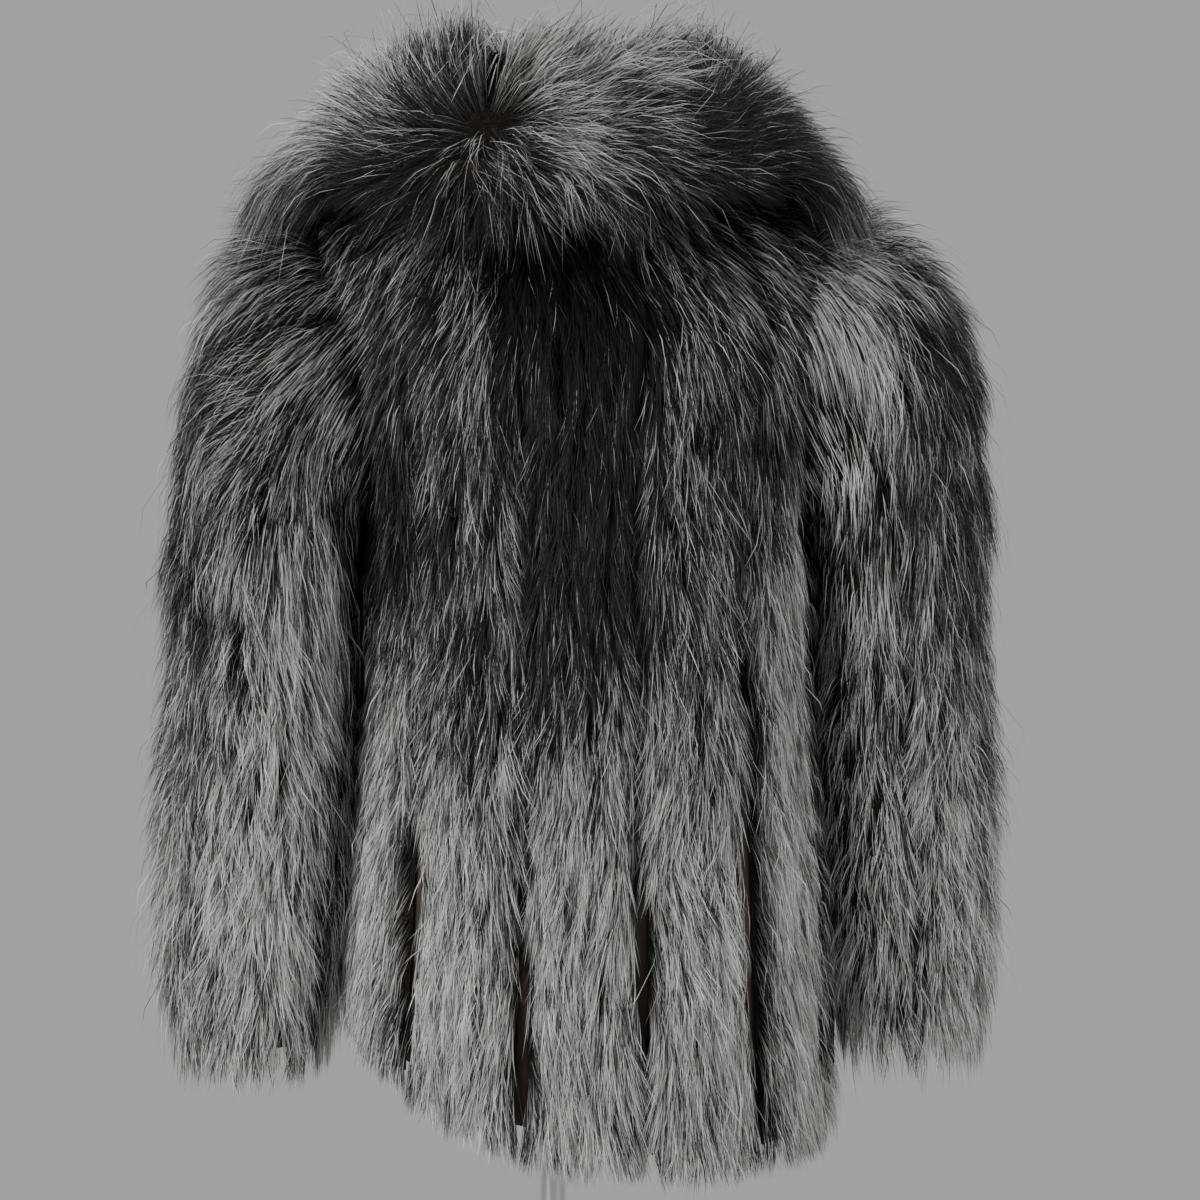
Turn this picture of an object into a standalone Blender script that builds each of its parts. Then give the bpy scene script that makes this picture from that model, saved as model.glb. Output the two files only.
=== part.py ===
"""A long-haired fur jacket on a limbless dress form with a pole and a round base.

Metres, +Z up. The origin is on the floor, on the pole's axis, at the centre of
the base's underside. The wearer would face -Y, so the back of the jacket is
towards +Y and the wearer's left is +X.

The jacket is cut as leather panels (back, two sides, two fronts, two sleeves
and a collar), each a thin wall, and lets long fur strips lie on them. Each
strip is a plain solid of the space that its lying fur fills.
"""

import math

import bpy
import numpy as np

# ---------------------------------------------------------------- dimensions
LEATHER = 0.0022  # thickness of the skins
SEAM = 0.0003  # between two pieces that are sewn together
PILE_GAP = 0.0005  # between a skin and the fur on it
STRIP_GAP = 0.0030  # between two neighbouring fur strips
FRONT_GAP = 0.0030  # between the two front edges, which meet but don't lap
TIPS = 0.030  # how far the fur hangs past a hem, a cuff or the collar's edge
SQUARENESS = 2.3  # exponent of the body's oval section: 2 is an ellipse

# The body: height, half width, depth in front of and behind the mid plane
BODY = np.array([
    (0.520, 0.192, 0.150, 0.165),
    (0.650, 0.184, 0.146, 0.160),
    (0.780, 0.178, 0.140, 0.150),
    (0.900, 0.172, 0.134, 0.142),
    (1.000, 0.172, 0.136, 0.142),
    (1.090, 0.180, 0.132, 0.142),
    (1.150, 0.188, 0.122, 0.134),
    (1.190, 0.195, 0.110, 0.124),
    (1.220, 0.198, 0.096, 0.112),
    (1.240, 0.193, 0.081, 0.099),
    (1.262, 0.150, 0.072, 0.088),
    (1.280, 0.082, 0.064, 0.078),
])

# The armhole: an oval seen from the side, centred on the body's mid plane
ARM_Z, ARM_HALF_HEIGHT, ARM_HALF_DEPTH = 1.135, 0.105, 0.075
ARM_SIDES = 16

# The sleeve, from the armhole to the cuff, in the plane seen from behind: its
# inner line (x, z), its outer line (x, z), its half depth, and how far the
# left and the right one swing back, and how much further out the right hangs
SLEEVE = np.array([
    (0.1810, 1.0220, 0.2320, 1.2320, 0.0770, 0.002, -0.002, 0.000),
    (0.1860, 1.0100, 0.2680, 1.2050, 0.0780, 0.006, -0.005, 0.000),
    (0.1900, 0.9940, 0.2960, 1.1550, 0.0770, 0.012, -0.010, 0.002),
    (0.1920, 0.9720, 0.3090, 1.0900, 0.0760, 0.020, -0.015, 0.004),
    (0.1920, 0.9450, 0.3120, 1.0200, 0.0740, 0.028, -0.020, 0.006),
    (0.1930, 0.8850, 0.3130, 0.9250, 0.0710, 0.038, -0.026, 0.008),
    (0.1950, 0.8100, 0.3170, 0.8250, 0.0680, 0.046, -0.029, 0.008),
    (0.2000, 0.7300, 0.3210, 0.7350, 0.0650, 0.050, -0.030, 0.008),
    (0.2050, 0.6600, 0.3220, 0.6600, 0.0625, 0.051, -0.030, 0.008),
    (0.2110, 0.5900, 0.3190, 0.5900, 0.0585, 0.050, -0.028, 0.008),
])
CUFF_ROW = len(SLEEVE)  # the armhole's own ring comes before these rows
SLEEVE_STRIPS = 4
SEAM_COLUMN = {1: 3, -1: 4}  # the first fur seam's column, of ARM_SIDES, from outside
TWIST = {1: math.radians(-12.5), -1: 0.0}  # how far each sleeve is turned as it hangs

# The collar, from the neck seam over the fold to its outer edge: height, half
# width, depth in front and behind, and the reach of the fur on it
COLLAR = np.array([
    (1.2785, 0.0775, 0.0570, 0.0710, 0.000),
    (1.3080, 0.0900, 0.0710, 0.0850, 0.008),
    (1.3360, 0.1110, 0.0900, 0.1040, 0.022),
    (1.3500, 0.1330, 0.1070, 0.1220, 0.044),
    (1.3420, 0.1540, 0.1220, 0.1390, 0.044),
    (1.3180, 0.1800, 0.1390, 0.1540, 0.040),
    (1.2900, 0.2030, 0.1540, 0.1660, 0.034),
    (1.2640, 0.2210, 0.1660, 0.1760, 0.028),
])
FOLD = 3  # the row of the fold, where the stand ends and the fall begins
COLLAR_END = math.radians(158)  # the collar stops here on each side of the back
COLLAR_COLUMNS = 24
COLLAR_BACK_DROP = 0.018  # its outer edge hangs lower at the back
COLLAR_SIDE_LIFT = 0.016  # and lies higher where it rests on the shoulders

# How the coat hangs: rows from the neck down shift sideways and rise at one hem
LEAN_LOW, LEAN_HIGH = -0.026, -0.006
LEFT_HEM_RISE, FRONT_HEM_RISE = 0.115, 0.050
FRONT_NECK_DROP = 0.015

# The form: height, half width, depth in front and behind
FORM = np.array([
    (0.740, 0.128, 0.100, 0.105),
    (0.800, 0.133, 0.104, 0.112),
    (0.900, 0.122, 0.094, 0.100),
    (1.000, 0.131, 0.104, 0.110),
    (1.080, 0.136, 0.106, 0.114),
    (1.140, 0.140, 0.098, 0.112),
    (1.180, 0.142, 0.084, 0.102),
    (1.210, 0.137, 0.070, 0.088),
    (1.232, 0.122, 0.059, 0.076),
    (1.246, 0.103, 0.053, 0.067),
    (1.256, 0.084, 0.049, 0.060),
    (1.264, 0.066, 0.047, 0.055),
    (1.278, 0.053, 0.045, 0.050),
    (1.306, 0.050, 0.043, 0.047),
    (1.316, 0.046, 0.039, 0.043),
])
FORM_SIDES = 28
POLE_RADIUS = 0.011
BASE_RADIUS, BASE_HEIGHT, BASE_EDGE = 0.150, 0.009, 0.003

# ------------------------------------------------------------------- tools


def curve(xs, ys, at):
    """A smooth curve through a table's column, straight past its two ends."""
    xs, ys = np.asarray(xs, float), np.asarray(ys, float)
    at = np.asarray(at, float)
    step = np.diff(xs)
    slope = np.diff(ys) / step
    m = np.concatenate([[slope[0]], np.zeros(len(xs) - 2), [slope[-1]]])
    for i in range(1, len(xs) - 1):
        if slope[i - 1] * slope[i] > 0:
            w1, w2 = 2 * step[i] + step[i - 1], step[i] + 2 * step[i - 1]
            m[i] = (w1 + w2) / (w1 / slope[i - 1] + w2 / slope[i])
    k = np.clip(np.searchsorted(xs, at) - 1, 0, len(xs) - 2)
    t = np.clip((at - xs[k]) / step[k], 0, 1)
    y = (
        ys[k] * (1 + 2 * t) * (1 - t) ** 2
        + ys[k + 1] * t * t * (3 - 2 * t)
        + step[k] * (m[k] * t * (1 - t) ** 2 - m[k + 1] * t * t * (1 - t))
    )
    return y + np.minimum(at - xs[0], 0) * m[0] + np.maximum(at - xs[-1], 0) * m[-1]


def ease(value, low, high):
    t = np.clip((value - low) / (high - low), 0, 1)
    return t * t * (3 - 2 * t)


def lean(z):
    return LEAN_LOW + (LEAN_HIGH - LEAN_LOW) * ease(z, 1.14, 1.26)


def oval(angle, half_width, front, back):
    """A point of a squarish oval. Angle 0 is the centre back, + goes to +X."""
    s, c = np.sin(angle), np.cos(angle)
    power = 2 / SQUARENESS
    x = half_width * np.sign(s) * np.abs(s) ** power
    y = np.where(c > 0, back, front) * np.sign(c) * np.abs(c) ** power
    return x, y


def hem_rise(angle):
    deg = np.degrees(angle)
    back = LEFT_HEM_RISE * ease(deg, -20, 105)
    towards_front = ease(np.abs(deg), 105, 180)
    return back + (FRONT_HEM_RISE - back) * towards_front


def body(row, angle):
    """The body's outer leather surface at a row's height and a section angle."""
    row, angle = np.broadcast_arrays(np.asarray(row, float), np.asarray(angle, float))
    a, front, back = (curve(BODY[:, 0], BODY[:, i], row) for i in (1, 2, 3))
    x, y = oval(angle, a, front, back)
    z = row + hem_rise(angle) * (1 - ease(row, 0.50, 0.95))
    z = z - FRONT_NECK_DROP * ease(np.abs(angle), 2.0, 3.0) * ease(row, 1.08, 1.24)
    return np.stack([x + lean(z), y, z], -1)


def body_normal(row, angle):
    row, angle = np.broadcast_arrays(np.asarray(row, float), np.asarray(angle, float))
    along = body(row, angle + 1e-3) - body(row, angle - 1e-3)
    up = body(row + 1e-4, angle) - body(row - 1e-4, angle)
    n = np.cross(up, along)
    return n / np.linalg.norm(n, axis=-1, keepdims=True)


def angle_of_depth(row, depth):
    """The section angle on the +X side where the section is at this depth."""
    reach = curve(BODY[:, 0], BODY[:, 3 if depth >= 0 else 2], row)
    return math.acos(
        math.copysign(min(abs(depth) / reach, 1) ** (SQUARENESS / 2), depth)
    )


def angle_of_share(row, share):
    """The section angle at a share of the way round, 0 the centre back, 0.5 the front."""
    angles = np.linspace(0, math.pi, 721)
    x, y = oval(angles, *(curve(BODY[:, 0], BODY[:, i], row) for i in (1, 2, 3)))
    run = np.concatenate([[0], np.cumsum(np.hypot(np.diff(x), np.diff(y)))])
    share = np.asarray(share, float)
    found = np.interp(np.abs(share), run / run[-1] / 2, angles)
    return np.sign(share) * found, 2 * run[-1]


def share_of_angle(row, angle):
    angles = np.linspace(0, math.pi, 721)
    x, y = oval(angles, *(curve(BODY[:, 0], BODY[:, i], row) for i in (1, 2, 3)))
    run = np.concatenate([[0], np.cumsum(np.hypot(np.diff(x), np.diff(y)))])
    return float(np.interp(angle, angles, run / run[-1] / 2))


def grid_normals(points, closed):
    """Normals of a grid of points, rows by columns."""
    if closed:
        along = np.roll(points, -1, 1) - np.roll(points, 1, 1)
    else:
        along = np.gradient(points, axis=1)
    down = np.gradient(points, axis=0)
    n = np.cross(down, along)
    return n / np.linalg.norm(n, axis=-1, keepdims=True)


MATERIALS = {}


def material(name, colour, roughness, metallic=0.0):
    if name not in MATERIALS:
        made = bpy.data.materials.new(name)
        made.use_nodes = True
        shader = made.node_tree.nodes["Principled BSDF"]
        shader.inputs["Base Color"].default_value = (*colour, 1)
        shader.inputs["Roughness"].default_value = roughness
        shader.inputs["Metallic"].default_value = metallic
        MATERIALS[name] = made
    return MATERIALS[name]


def add(name, points, faces, look, parent, smooth=True):
    mesh = bpy.data.meshes.new(name)
    mesh.from_pydata([tuple(p) for p in np.asarray(points).reshape(-1, 3)], [], faces)
    mesh.validate()
    mesh.update()
    piece = bpy.data.objects.new(name, mesh)
    bpy.context.scene.collection.objects.link(piece)
    mesh.materials.append(look)
    if smooth:
        mesh.shade_smooth()
        mesh.set_sharp_from_angle(angle=math.radians(50))
    piece.parent = parent
    return piece


def wall(name, outer, inner, closed, look, parent):
    """A closed sheet between two grids of points. A closed grid is a tube."""
    rows, cols = outer.shape[:2]
    count = rows * cols
    wrap = cols if closed else cols - 1

    def at(r, c, layer):
        return layer * count + r * cols + c % cols

    faces = []

    def quad(a, b, d, e):
        faces.extend([[a, b, d], [a, d, e]])

    for r in range(rows - 1):
        for c in range(wrap):
            for layer in (0, 1):
                corners = [at(r, c, layer), at(r, c + 1, layer)]
                corners += [at(r + 1, c + 1, layer), at(r + 1, c, layer)]
                quad(*corners)
                if layer:
                    faces[-2:] = [f[::-1] for f in faces[-2:]]
    last = rows - 1
    for c in range(wrap):
        quad(at(0, c + 1, 0), at(0, c, 0), at(0, c, 1), at(0, c + 1, 1))
        quad(at(last, c, 0), at(last, c + 1, 0), at(last, c + 1, 1), at(last, c, 1))
    if not closed:
        last = cols - 1
        for r in range(rows - 1):
            quad(at(r, 0, 0), at(r + 1, 0, 0), at(r + 1, 0, 1), at(r, 0, 1))
            quad(at(r + 1, last, 0), at(r, last, 0), at(r, last, 1), at(r + 1, last, 1))
    points = np.concatenate([outer.reshape(-1, 3), inner.reshape(-1, 3)])
    if np.linalg.det(points[np.array(faces)] - points.mean(0)).sum() < 0:
        faces = [f[::-1] for f in faces]
    return add(name, points, faces, look, parent)


# -------------------------------------------------------------------- body

# Rows of the body, from the hem to the neck. Those at the armhole are the
# heights of the corners of its oval.
ARM_ANGLES = np.arange(ARM_SIDES) * 2 * math.pi / ARM_SIDES
ARM_ROWS = [ARM_Z - ARM_HALF_HEIGHT * math.cos(k * math.pi / 8) for k in range(1, 9)]
LOW_ROWS = [0.520, 0.610, 0.705, 0.800, 0.895, 0.985]
ROWS = LOW_ROWS + ARM_ROWS + [1.262, 1.280]
FIRST_ARM = len(LOW_ROWS)
LAST_ARM = FIRST_ARM + 7  # the top of the armhole
PILE_TOP = LAST_ARM  # the strips end here, under the collar
SIDE_TOP = FIRST_ARM - 1  # the fur under the arm ends here

STRIP = 1 / 12  # share of the way round that one strip takes


def armhole_depth(r, clearance):
    """Half depth of the armhole at a row of the body."""
    k = r - FIRST_ARM + 1
    return (ARM_HALF_DEPTH + clearance) * math.sin(k * math.pi / 8)


def edge_share(r, panel):
    """Where a panel's side edge is at a row, as a share of the way round."""
    back = panel == "back"
    if r < FIRST_ARM:
        share = 2.5 * STRIP if back else 3.5 * STRIP
    elif r < LAST_ARM:
        depth = armhole_depth(r, 2 * SEAM)
        share = share_of_angle(ROWS[r], angle_of_depth(ROWS[r], depth if back else -depth))
    else:
        share = share_of_angle(ROWS[r], math.pi / 2)
    return share


def panel_shares(r, panel, inset=SEAM / 2):
    """The shares of a panel's columns at a row, each strip in four columns or six."""
    turn = angle_of_share(ROWS[r], 0)[1]
    edge = edge_share(r, panel)
    tight = inset / turn
    if panel == "back":
        inner = np.linspace(0, 1.5 * STRIP, 7)
        outer = np.linspace(1.5 * STRIP, edge - tight, 5)[1:]
        half = np.concatenate([inner, outer])
        return np.concatenate([-half[:0:-1], half])
    centre = FRONT_GAP / 2 / turn
    first = np.linspace(edge + tight, 4.5 * STRIP, 5)
    return np.concatenate([first, np.linspace(4.5 * STRIP, 0.5 - centre, 5)[1:]])


def surface_grid(rows_used, shares_of_row, side=1):
    points, normals = [], []
    for r in rows_used:
        angles, _ = angle_of_share(ROWS[r], side * np.asarray(shares_of_row(r)))
        points.append(body(ROWS[r], angles))
        normals.append(body_normal(ROWS[r], angles))
    return np.array(points), np.array(normals)


def skin(name, rows_used, shares_of_row, side, look, parent, top_row=None):
    points, normals = surface_grid(rows_used, shares_of_row, side)
    if top_row is not None:
        extra_p, extra_n = top_row
        points = np.concatenate([points, extra_p[None]])
        normals = np.concatenate([normals, extra_n[None]])
    return wall(name, points, points - normals * LEATHER, False, look, parent)


def side_top(side):
    """The top edge of a side panel: the three lowest corners of the armhole."""
    drop = ARM_HALF_HEIGHT + 2 * SEAM
    depth = (ARM_HALF_DEPTH + 2 * SEAM) * math.sin(math.pi / 8)
    corner_z = ARM_Z - ARM_HALF_HEIGHT * math.cos(math.pi / 8)
    low_z = ARM_Z - drop
    depths = [depth - 0.0004, depth / 2, 0.0, -depth / 2, -depth + 0.0004]
    heights = [corner_z, (corner_z + low_z) / 2, low_z, (corner_z + low_z) / 2, corner_z]
    angles = [angle_of_depth(z, y) for z, y in zip(heights, depths)]
    rows, angles = np.array(heights), side * np.array(angles)
    return body(rows, angles), body_normal(rows, angles)


def side_shares(r, inset=SEAM / 2):
    tight = inset / angle_of_share(ROWS[r], 0)[1]
    return np.linspace(2.5 * STRIP + tight, 3.5 * STRIP - tight, 5)


def fur_reach(share):
    """How far the lying fur reaches out from the leather, round the body."""
    s = abs(share) / STRIP
    return 0.010 + 0.016 * (1 - ease(s, 1.4, 2.4)) + 0.013 * ease(s, 3.6, 4.6)


def drawn_in(grid, first, second):
    """A grid whose first and last columns move in along the rows by these lengths."""
    grid = grid.copy()
    for end, step, length in ((0, 1, first), (-1, -1, second)):
        across = grid[:, end + step] - grid[:, end]
        width = np.linalg.norm(across, axis=-1, keepdims=True)
        grid[:, end] += across * np.minimum(length / width, 0.6)
    return grid


def pile(name, points, normals, reach, gap, hem_last, look, parent):
    """The solid of the fur on a grid of a skin's points, hanging past its hem."""
    if hem_last:
        points, normals, reach, gap = points[::-1], normals[::-1], reach[::-1], gap[::-1]
    down = points[0] - points[1]
    down /= np.linalg.norm(down, axis=-1, keepdims=True)
    tips = points[0] + down * TIPS
    inner = [(tips + normals[0] * 0.002)[None], points + normals * gap]
    outer = [
        (tips + normals[0] * (0.35 * reach[0][:, None] + 0.003))[None],
        points + normals * (gap + reach[..., None]),
    ]
    return wall(name, np.concatenate(outer), np.concatenate(inner), False, look, parent)


def strip_body(name, panel, first, cells, rows_used, side, arm_column, look, parent):
    """A fur strip on the cells of a panel, from its column first on."""
    shares_of_row = side_shares if panel == "side" else (lambda r: panel_shares(r, panel))
    points, normals = surface_grid(rows_used, shares_of_row, side)
    shares = np.array([shares_of_row(r) for r in rows_used])
    used = slice(first, first + cells + 1)
    points, normals, shares = points[:, used], normals[:, used], shares[:, used]
    edge = np.full(len(points), STRIP_GAP / 2)
    at_arm = np.where(np.array(rows_used) >= FIRST_ARM - 1, 0.005, STRIP_GAP / 2)
    points = drawn_in(
        points,
        (at_arm if arm_column == 0 else edge)[:, None],
        (at_arm if arm_column == 1 else edge)[:, None],
    )
    across = np.linspace(-1, 1, cells + 1)
    last = rows_used[-1]
    fade = np.array([(0.35 if r == last else 0.75 if r == last - 1 else 1.0) for r in rows_used])
    fade = fade * np.where(np.array(rows_used) >= FIRST_ARM, 0.75, 1.0)
    reach = np.vectorize(fur_reach)(shares) * (0.38 + 0.62 * (1 - across**2)) * fade[:, None]
    gap = np.where(np.array(rows_used) >= FIRST_ARM - 1, 0.0022, PILE_GAP)[:, None, None]
    pile(name, points, normals, np.maximum(reach, 0.0035), gap, False, look, parent)


def make_body(parent, leather, fur):
    every = range(len(ROWS))
    skin("skin_back", every, lambda r: panel_shares(r, "back"), 1, leather, parent)
    low = range(FIRST_ARM)
    for side, word in ((1, "left"), (-1, "right")):
        skin(f"skin_front_{word}", every, lambda r: panel_shares(r, "front"), side, leather, parent)
        skin(f"skin_side_{word}", low, side_shares, side, leather, parent, side_top(side))
    piled = range(PILE_TOP + 1)
    # the back's columns run from the wearer's right to the left, four to a strip
    for i in range(5):
        arm = {0: 0, 4: 1}.get(i)
        strip_body(f"fur_back_{i + 1}", "back", 4 * i, 4, piled, 1, arm, fur, parent)
    for side, word in ((1, "left"), (-1, "right")):
        strip_body(f"fur_side_{word}", "side", 0, 4, range(SIDE_TOP + 1), side, None, fur, parent)
        strip_body(f"fur_front_{word}_1", "front", 0, 4, piled, side, 0, fur, parent)
        strip_body(f"fur_front_{word}_2", "front", 4, 4, piled, side, None, fur, parent)


# ------------------------------------------------------------------ sleeves


def sleeve_ring(r, side, angles):
    """Ring r of a sleeve: 0 is the armhole. Angle 0 is outside, 90 the back."""
    if r == 0:
        s, c = np.sin(angles), np.cos(angles)
        rows = ARM_Z + (ARM_HALF_HEIGHT - 2 * SEAM) * c
        depths = (ARM_HALF_DEPTH - 2 * SEAM) * s
        turned = [side * angle_of_depth(w, d) for w, d in zip(rows, depths)]
        return body(rows, np.array(turned))
    angles = angles + TWIST[side] * min(r / 3, 1)
    s, c = np.sin(angles), np.cos(angles)
    xi, zi, xo, zo, depth, left, right, further = SLEEVE[r - 1]
    y0 = left if side > 0 else right
    out = further if side < 0 else 0.0
    centre = np.array([(xi + xo) / 2 + out, y0, (zi + zo) / 2])
    across = np.array([(xo - xi) / 2, 0, (zo - zi) / 2])
    ring = centre + c[:, None] * across + s[:, None] * np.array([0, depth, 0])
    ring[:, 0] = side * ring[:, 0] + lean(ring[:, 2])
    return ring


def make_sleeve(side, word, parent, leather, fur):
    grid = np.array([sleeve_ring(r, side, ARM_ANGLES) for r in range(CUFF_ROW + 1)])
    normals = grid_normals(grid, True)
    middle = grid.mean(axis=1, keepdims=True)
    if ((grid - middle) * normals).sum() < 0:
        normals = -normals
    wall(f"skin_sleeve_{word}", grid, grid - normals * LEATHER, True, leather, parent)
    for i in range(SLEEVE_STRIPS):
        columns = SEAM_COLUMN[side] + 4 * i + np.arange(5)
        facing = math.degrees(ARM_ANGLES[columns[2] % ARM_SIDES] + TWIST[side])
        facing %= 360
        first = 6 if 130 < facing < 230 else 1 if facing < 70 or facing > 290 else 2
        columns = columns % ARM_SIDES
        points, out = grid[first:, columns], normals[first:, columns]
        points = drawn_in(points, STRIP_GAP / 2, STRIP_GAP / 2)
        angles = ARM_ANGLES[columns] + TWIST[side]
        across = np.linspace(-1, 1, 5)
        reach = 0.008 + 0.023 * (0.5 + 0.5 * np.cos(angles)) ** 0.6
        reach = np.tile(reach * (0.40 + 0.60 * (1 - across**2)), (len(points), 1))
        reach[0] *= 0.6
        reach = np.maximum(reach, 0.0035)
        gap = np.where(np.arange(first, CUFF_ROW + 1) < 6, 0.0025, 0.0008)[:, None, None]
        name = f"fur_sleeve_{word}_{i + 1}"
        pile(name, points, out, reach, gap, True, fur, parent)


# ------------------------------------------------------------------- collar


def collar_rows(angles):
    rows = []
    for i, (z, a, front, back, _) in enumerate(COLLAR):
        x, y = oval(angles, a, front, back)
        far = max(i - 3, 0) / (len(COLLAR) - 4)
        height = z - FRONT_NECK_DROP * ease(np.abs(angles), 2.0, 3.0)
        height = height - COLLAR_BACK_DROP * far * (1 - ease(np.abs(angles), 0.2, 1.2))
        height = height + COLLAR_SIDE_LIFT * far * np.exp(-(((np.abs(angles) - 1.57) / 0.45) ** 2))
        rows.append(np.stack([x + lean(1.26), y, height], -1))
    return np.array(rows)


def shortened(rows, first, second):
    """Rows of points whose first and last row move in by these lengths."""
    rows = rows.copy()
    for end, step, length in ((0, 1, first), (-1, -1, second)):
        along = rows[end + step] - rows[end]
        size = np.linalg.norm(along, axis=-1, keepdims=True)
        rows[end] += along * (length / size)
    return rows


def make_collar(parent, leather, fur):
    angles = np.linspace(-COLLAR_END, COLLAR_END, COLLAR_COLUMNS + 1)
    grid = collar_rows(angles)
    normals = grid_normals(grid, False)
    # the fold is the highest row: its fur side faces up
    if normals[FOLD, COLLAR_COLUMNS // 2, 2] < 0:
        normals = -normals
    ends = ease(COLLAR_END - np.abs(angles), 0.0, 0.35)
    reach = COLLAR[:, 4][:, None] * (0.45 + 0.55 * ends)[None, :]
    for name, used, first, second in (
        ("skin_collar_stand", slice(0, FOLD + 1), 0.0, SEAM / 2),
        ("skin_collar_fall", slice(FOLD, None), SEAM / 2, 0.0),
    ):
        rows, out = shortened(grid[used], first, second), normals[used]
        wall(name, rows, rows - out * LEATHER, False, leather, parent)
    rows, out = shortened(grid[1 : FOLD + 1], 0.0, STRIP_GAP / 2), normals[1 : FOLD + 1]
    top = rows + out * reach[1 : FOLD + 1, :, None]
    wall("fur_collar_inner", top, rows + out * PILE_GAP, False, fur, parent)
    rows, out = shortened(grid[FOLD:], STRIP_GAP / 2, 0.0), normals[FOLD:]
    down = rows[-1] - rows[-2]
    down /= np.linalg.norm(down, axis=-1, keepdims=True)
    tips = rows[-1] + down * TIPS
    inner = np.concatenate([rows + out * PILE_GAP, (tips + out[-1] * 0.003)[None]])
    outer = np.concatenate(
        [rows + out * reach[FOLD:, :, None], (tips + out[-1] * 0.014)[None]]
    )
    wall("fur_collar_outer", outer, inner, False, fur, parent)


# ----------------------------------------------------------- form and stand


def make_form(parent, cloth):
    angles = np.arange(FORM_SIDES) * 2 * math.pi / FORM_SIDES
    points, faces = [], []
    for z, a, front, back in FORM:
        x, y = oval(angles, a, front, back)
        points.append(np.stack([x, y, np.full_like(x, z)], -1))
    points = np.array(points)
    rows, cols = points.shape[:2]
    for r in range(rows - 1):
        for c in range(cols):
            d = (c + 1) % cols
            faces.append([r * cols + c, (r + 1) * cols + c, (r + 1) * cols + d, r * cols + d])
    faces.append(list(range(cols)))
    faces.append([(rows - 1) * cols + c for c in range(cols)][::-1])
    return add("dress_form", points, faces, cloth, parent)


def turned(name, profile, sides, look, parent):
    """A solid turned round the Z axis from a profile of (radius, height) rows."""
    points, faces = [], []
    for radius, z in profile:
        for k in range(sides):
            angle = 2 * math.pi * k / sides
            points.append((radius * math.cos(angle), radius * math.sin(angle), z))
    for r in range(len(profile) - 1):
        for k in range(sides):
            n = (k + 1) % sides
            faces.append([r * sides + k, r * sides + n, (r + 1) * sides + n, (r + 1) * sides + k])
    faces.append(list(range(sides))[::-1])
    faces.append([(len(profile) - 1) * sides + k for k in range(sides)])
    return add(name, points, faces, look, parent)


def make_stand(parent, chrome):
    edge = BASE_EDGE
    base = [(BASE_RADIUS, 0.0), (BASE_RADIUS, BASE_HEIGHT - edge)]
    base += [
        (BASE_RADIUS - edge * (1 - math.cos(a)), BASE_HEIGHT - edge * (1 - math.sin(a)))
        for a in (math.pi / 6, math.pi / 3, math.pi / 2)
    ]
    turned("stand_base", base, 48, chrome, parent)
    turned(
        "stand_pole",
        [(POLE_RADIUS, BASE_HEIGHT + SEAM), (POLE_RADIUS, FORM[0, 0] - SEAM)],
        24,
        chrome,
        parent,
    )


def main():
    for item in list(bpy.data.objects):
        bpy.data.objects.remove(item, do_unlink=True)
    root = bpy.data.objects.new("coat_on_form", None)
    bpy.context.scene.collection.objects.link(root)
    leather = material("leather", (0.040, 0.028, 0.024), 0.65)
    fur = material("silver_fox", (0.17, 0.165, 0.16), 0.7)
    cloth = material("form_cover", (0.55, 0.53, 0.50), 0.8)
    chrome = material("chrome", (0.80, 0.80, 0.81), 0.12, 1.0)
    make_body(root, leather, fur)
    for side, word in ((1, "left"), (-1, "right")):
        make_sleeve(side, word, root, leather, fur)
    make_collar(root, leather, fur)
    make_form(root, cloth)
    make_stand(root, chrome)


main()
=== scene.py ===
"""The looks of a long-haired silver fox jacket on a dress form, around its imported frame.

Every surface repeats the construction's own functions, in metres. The pelts are
made here: a dense dark underfur on each let-out strip, and guard hairs as thin
tapered blades that lie along each strip, part at the leather gaps between the
strips, and hang past hem, cuffs and collar.
"""

import math

import bpy
import numpy as np
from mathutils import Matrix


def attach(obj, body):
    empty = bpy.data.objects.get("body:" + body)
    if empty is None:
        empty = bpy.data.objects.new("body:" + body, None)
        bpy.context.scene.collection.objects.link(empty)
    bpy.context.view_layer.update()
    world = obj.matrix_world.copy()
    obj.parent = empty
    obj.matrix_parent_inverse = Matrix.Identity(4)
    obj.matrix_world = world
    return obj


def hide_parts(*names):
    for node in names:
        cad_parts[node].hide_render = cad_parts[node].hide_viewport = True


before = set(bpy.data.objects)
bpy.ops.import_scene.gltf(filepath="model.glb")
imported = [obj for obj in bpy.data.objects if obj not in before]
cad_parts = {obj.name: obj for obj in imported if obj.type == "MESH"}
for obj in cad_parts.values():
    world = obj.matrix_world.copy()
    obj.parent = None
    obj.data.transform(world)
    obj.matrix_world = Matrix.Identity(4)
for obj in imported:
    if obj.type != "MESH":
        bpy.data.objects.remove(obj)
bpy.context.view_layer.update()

# ------------------------------------------------ the construction's own sizes
LEATHER = 0.0022
SQUARENESS = 2.3
BODY = np.array([
    (0.520, 0.192, 0.150, 0.165),
    (0.650, 0.184, 0.146, 0.160),
    (0.780, 0.178, 0.140, 0.150),
    (0.900, 0.172, 0.134, 0.142),
    (1.000, 0.172, 0.136, 0.142),
    (1.090, 0.180, 0.132, 0.142),
    (1.150, 0.188, 0.122, 0.134),
    (1.190, 0.195, 0.110, 0.124),
    (1.220, 0.198, 0.096, 0.112),
    (1.240, 0.193, 0.081, 0.099),
    (1.262, 0.150, 0.072, 0.088),
    (1.280, 0.082, 0.064, 0.078),
])
ARM_Z, ARM_HALF_HEIGHT, ARM_HALF_DEPTH = 1.135, 0.105, 0.075
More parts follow.
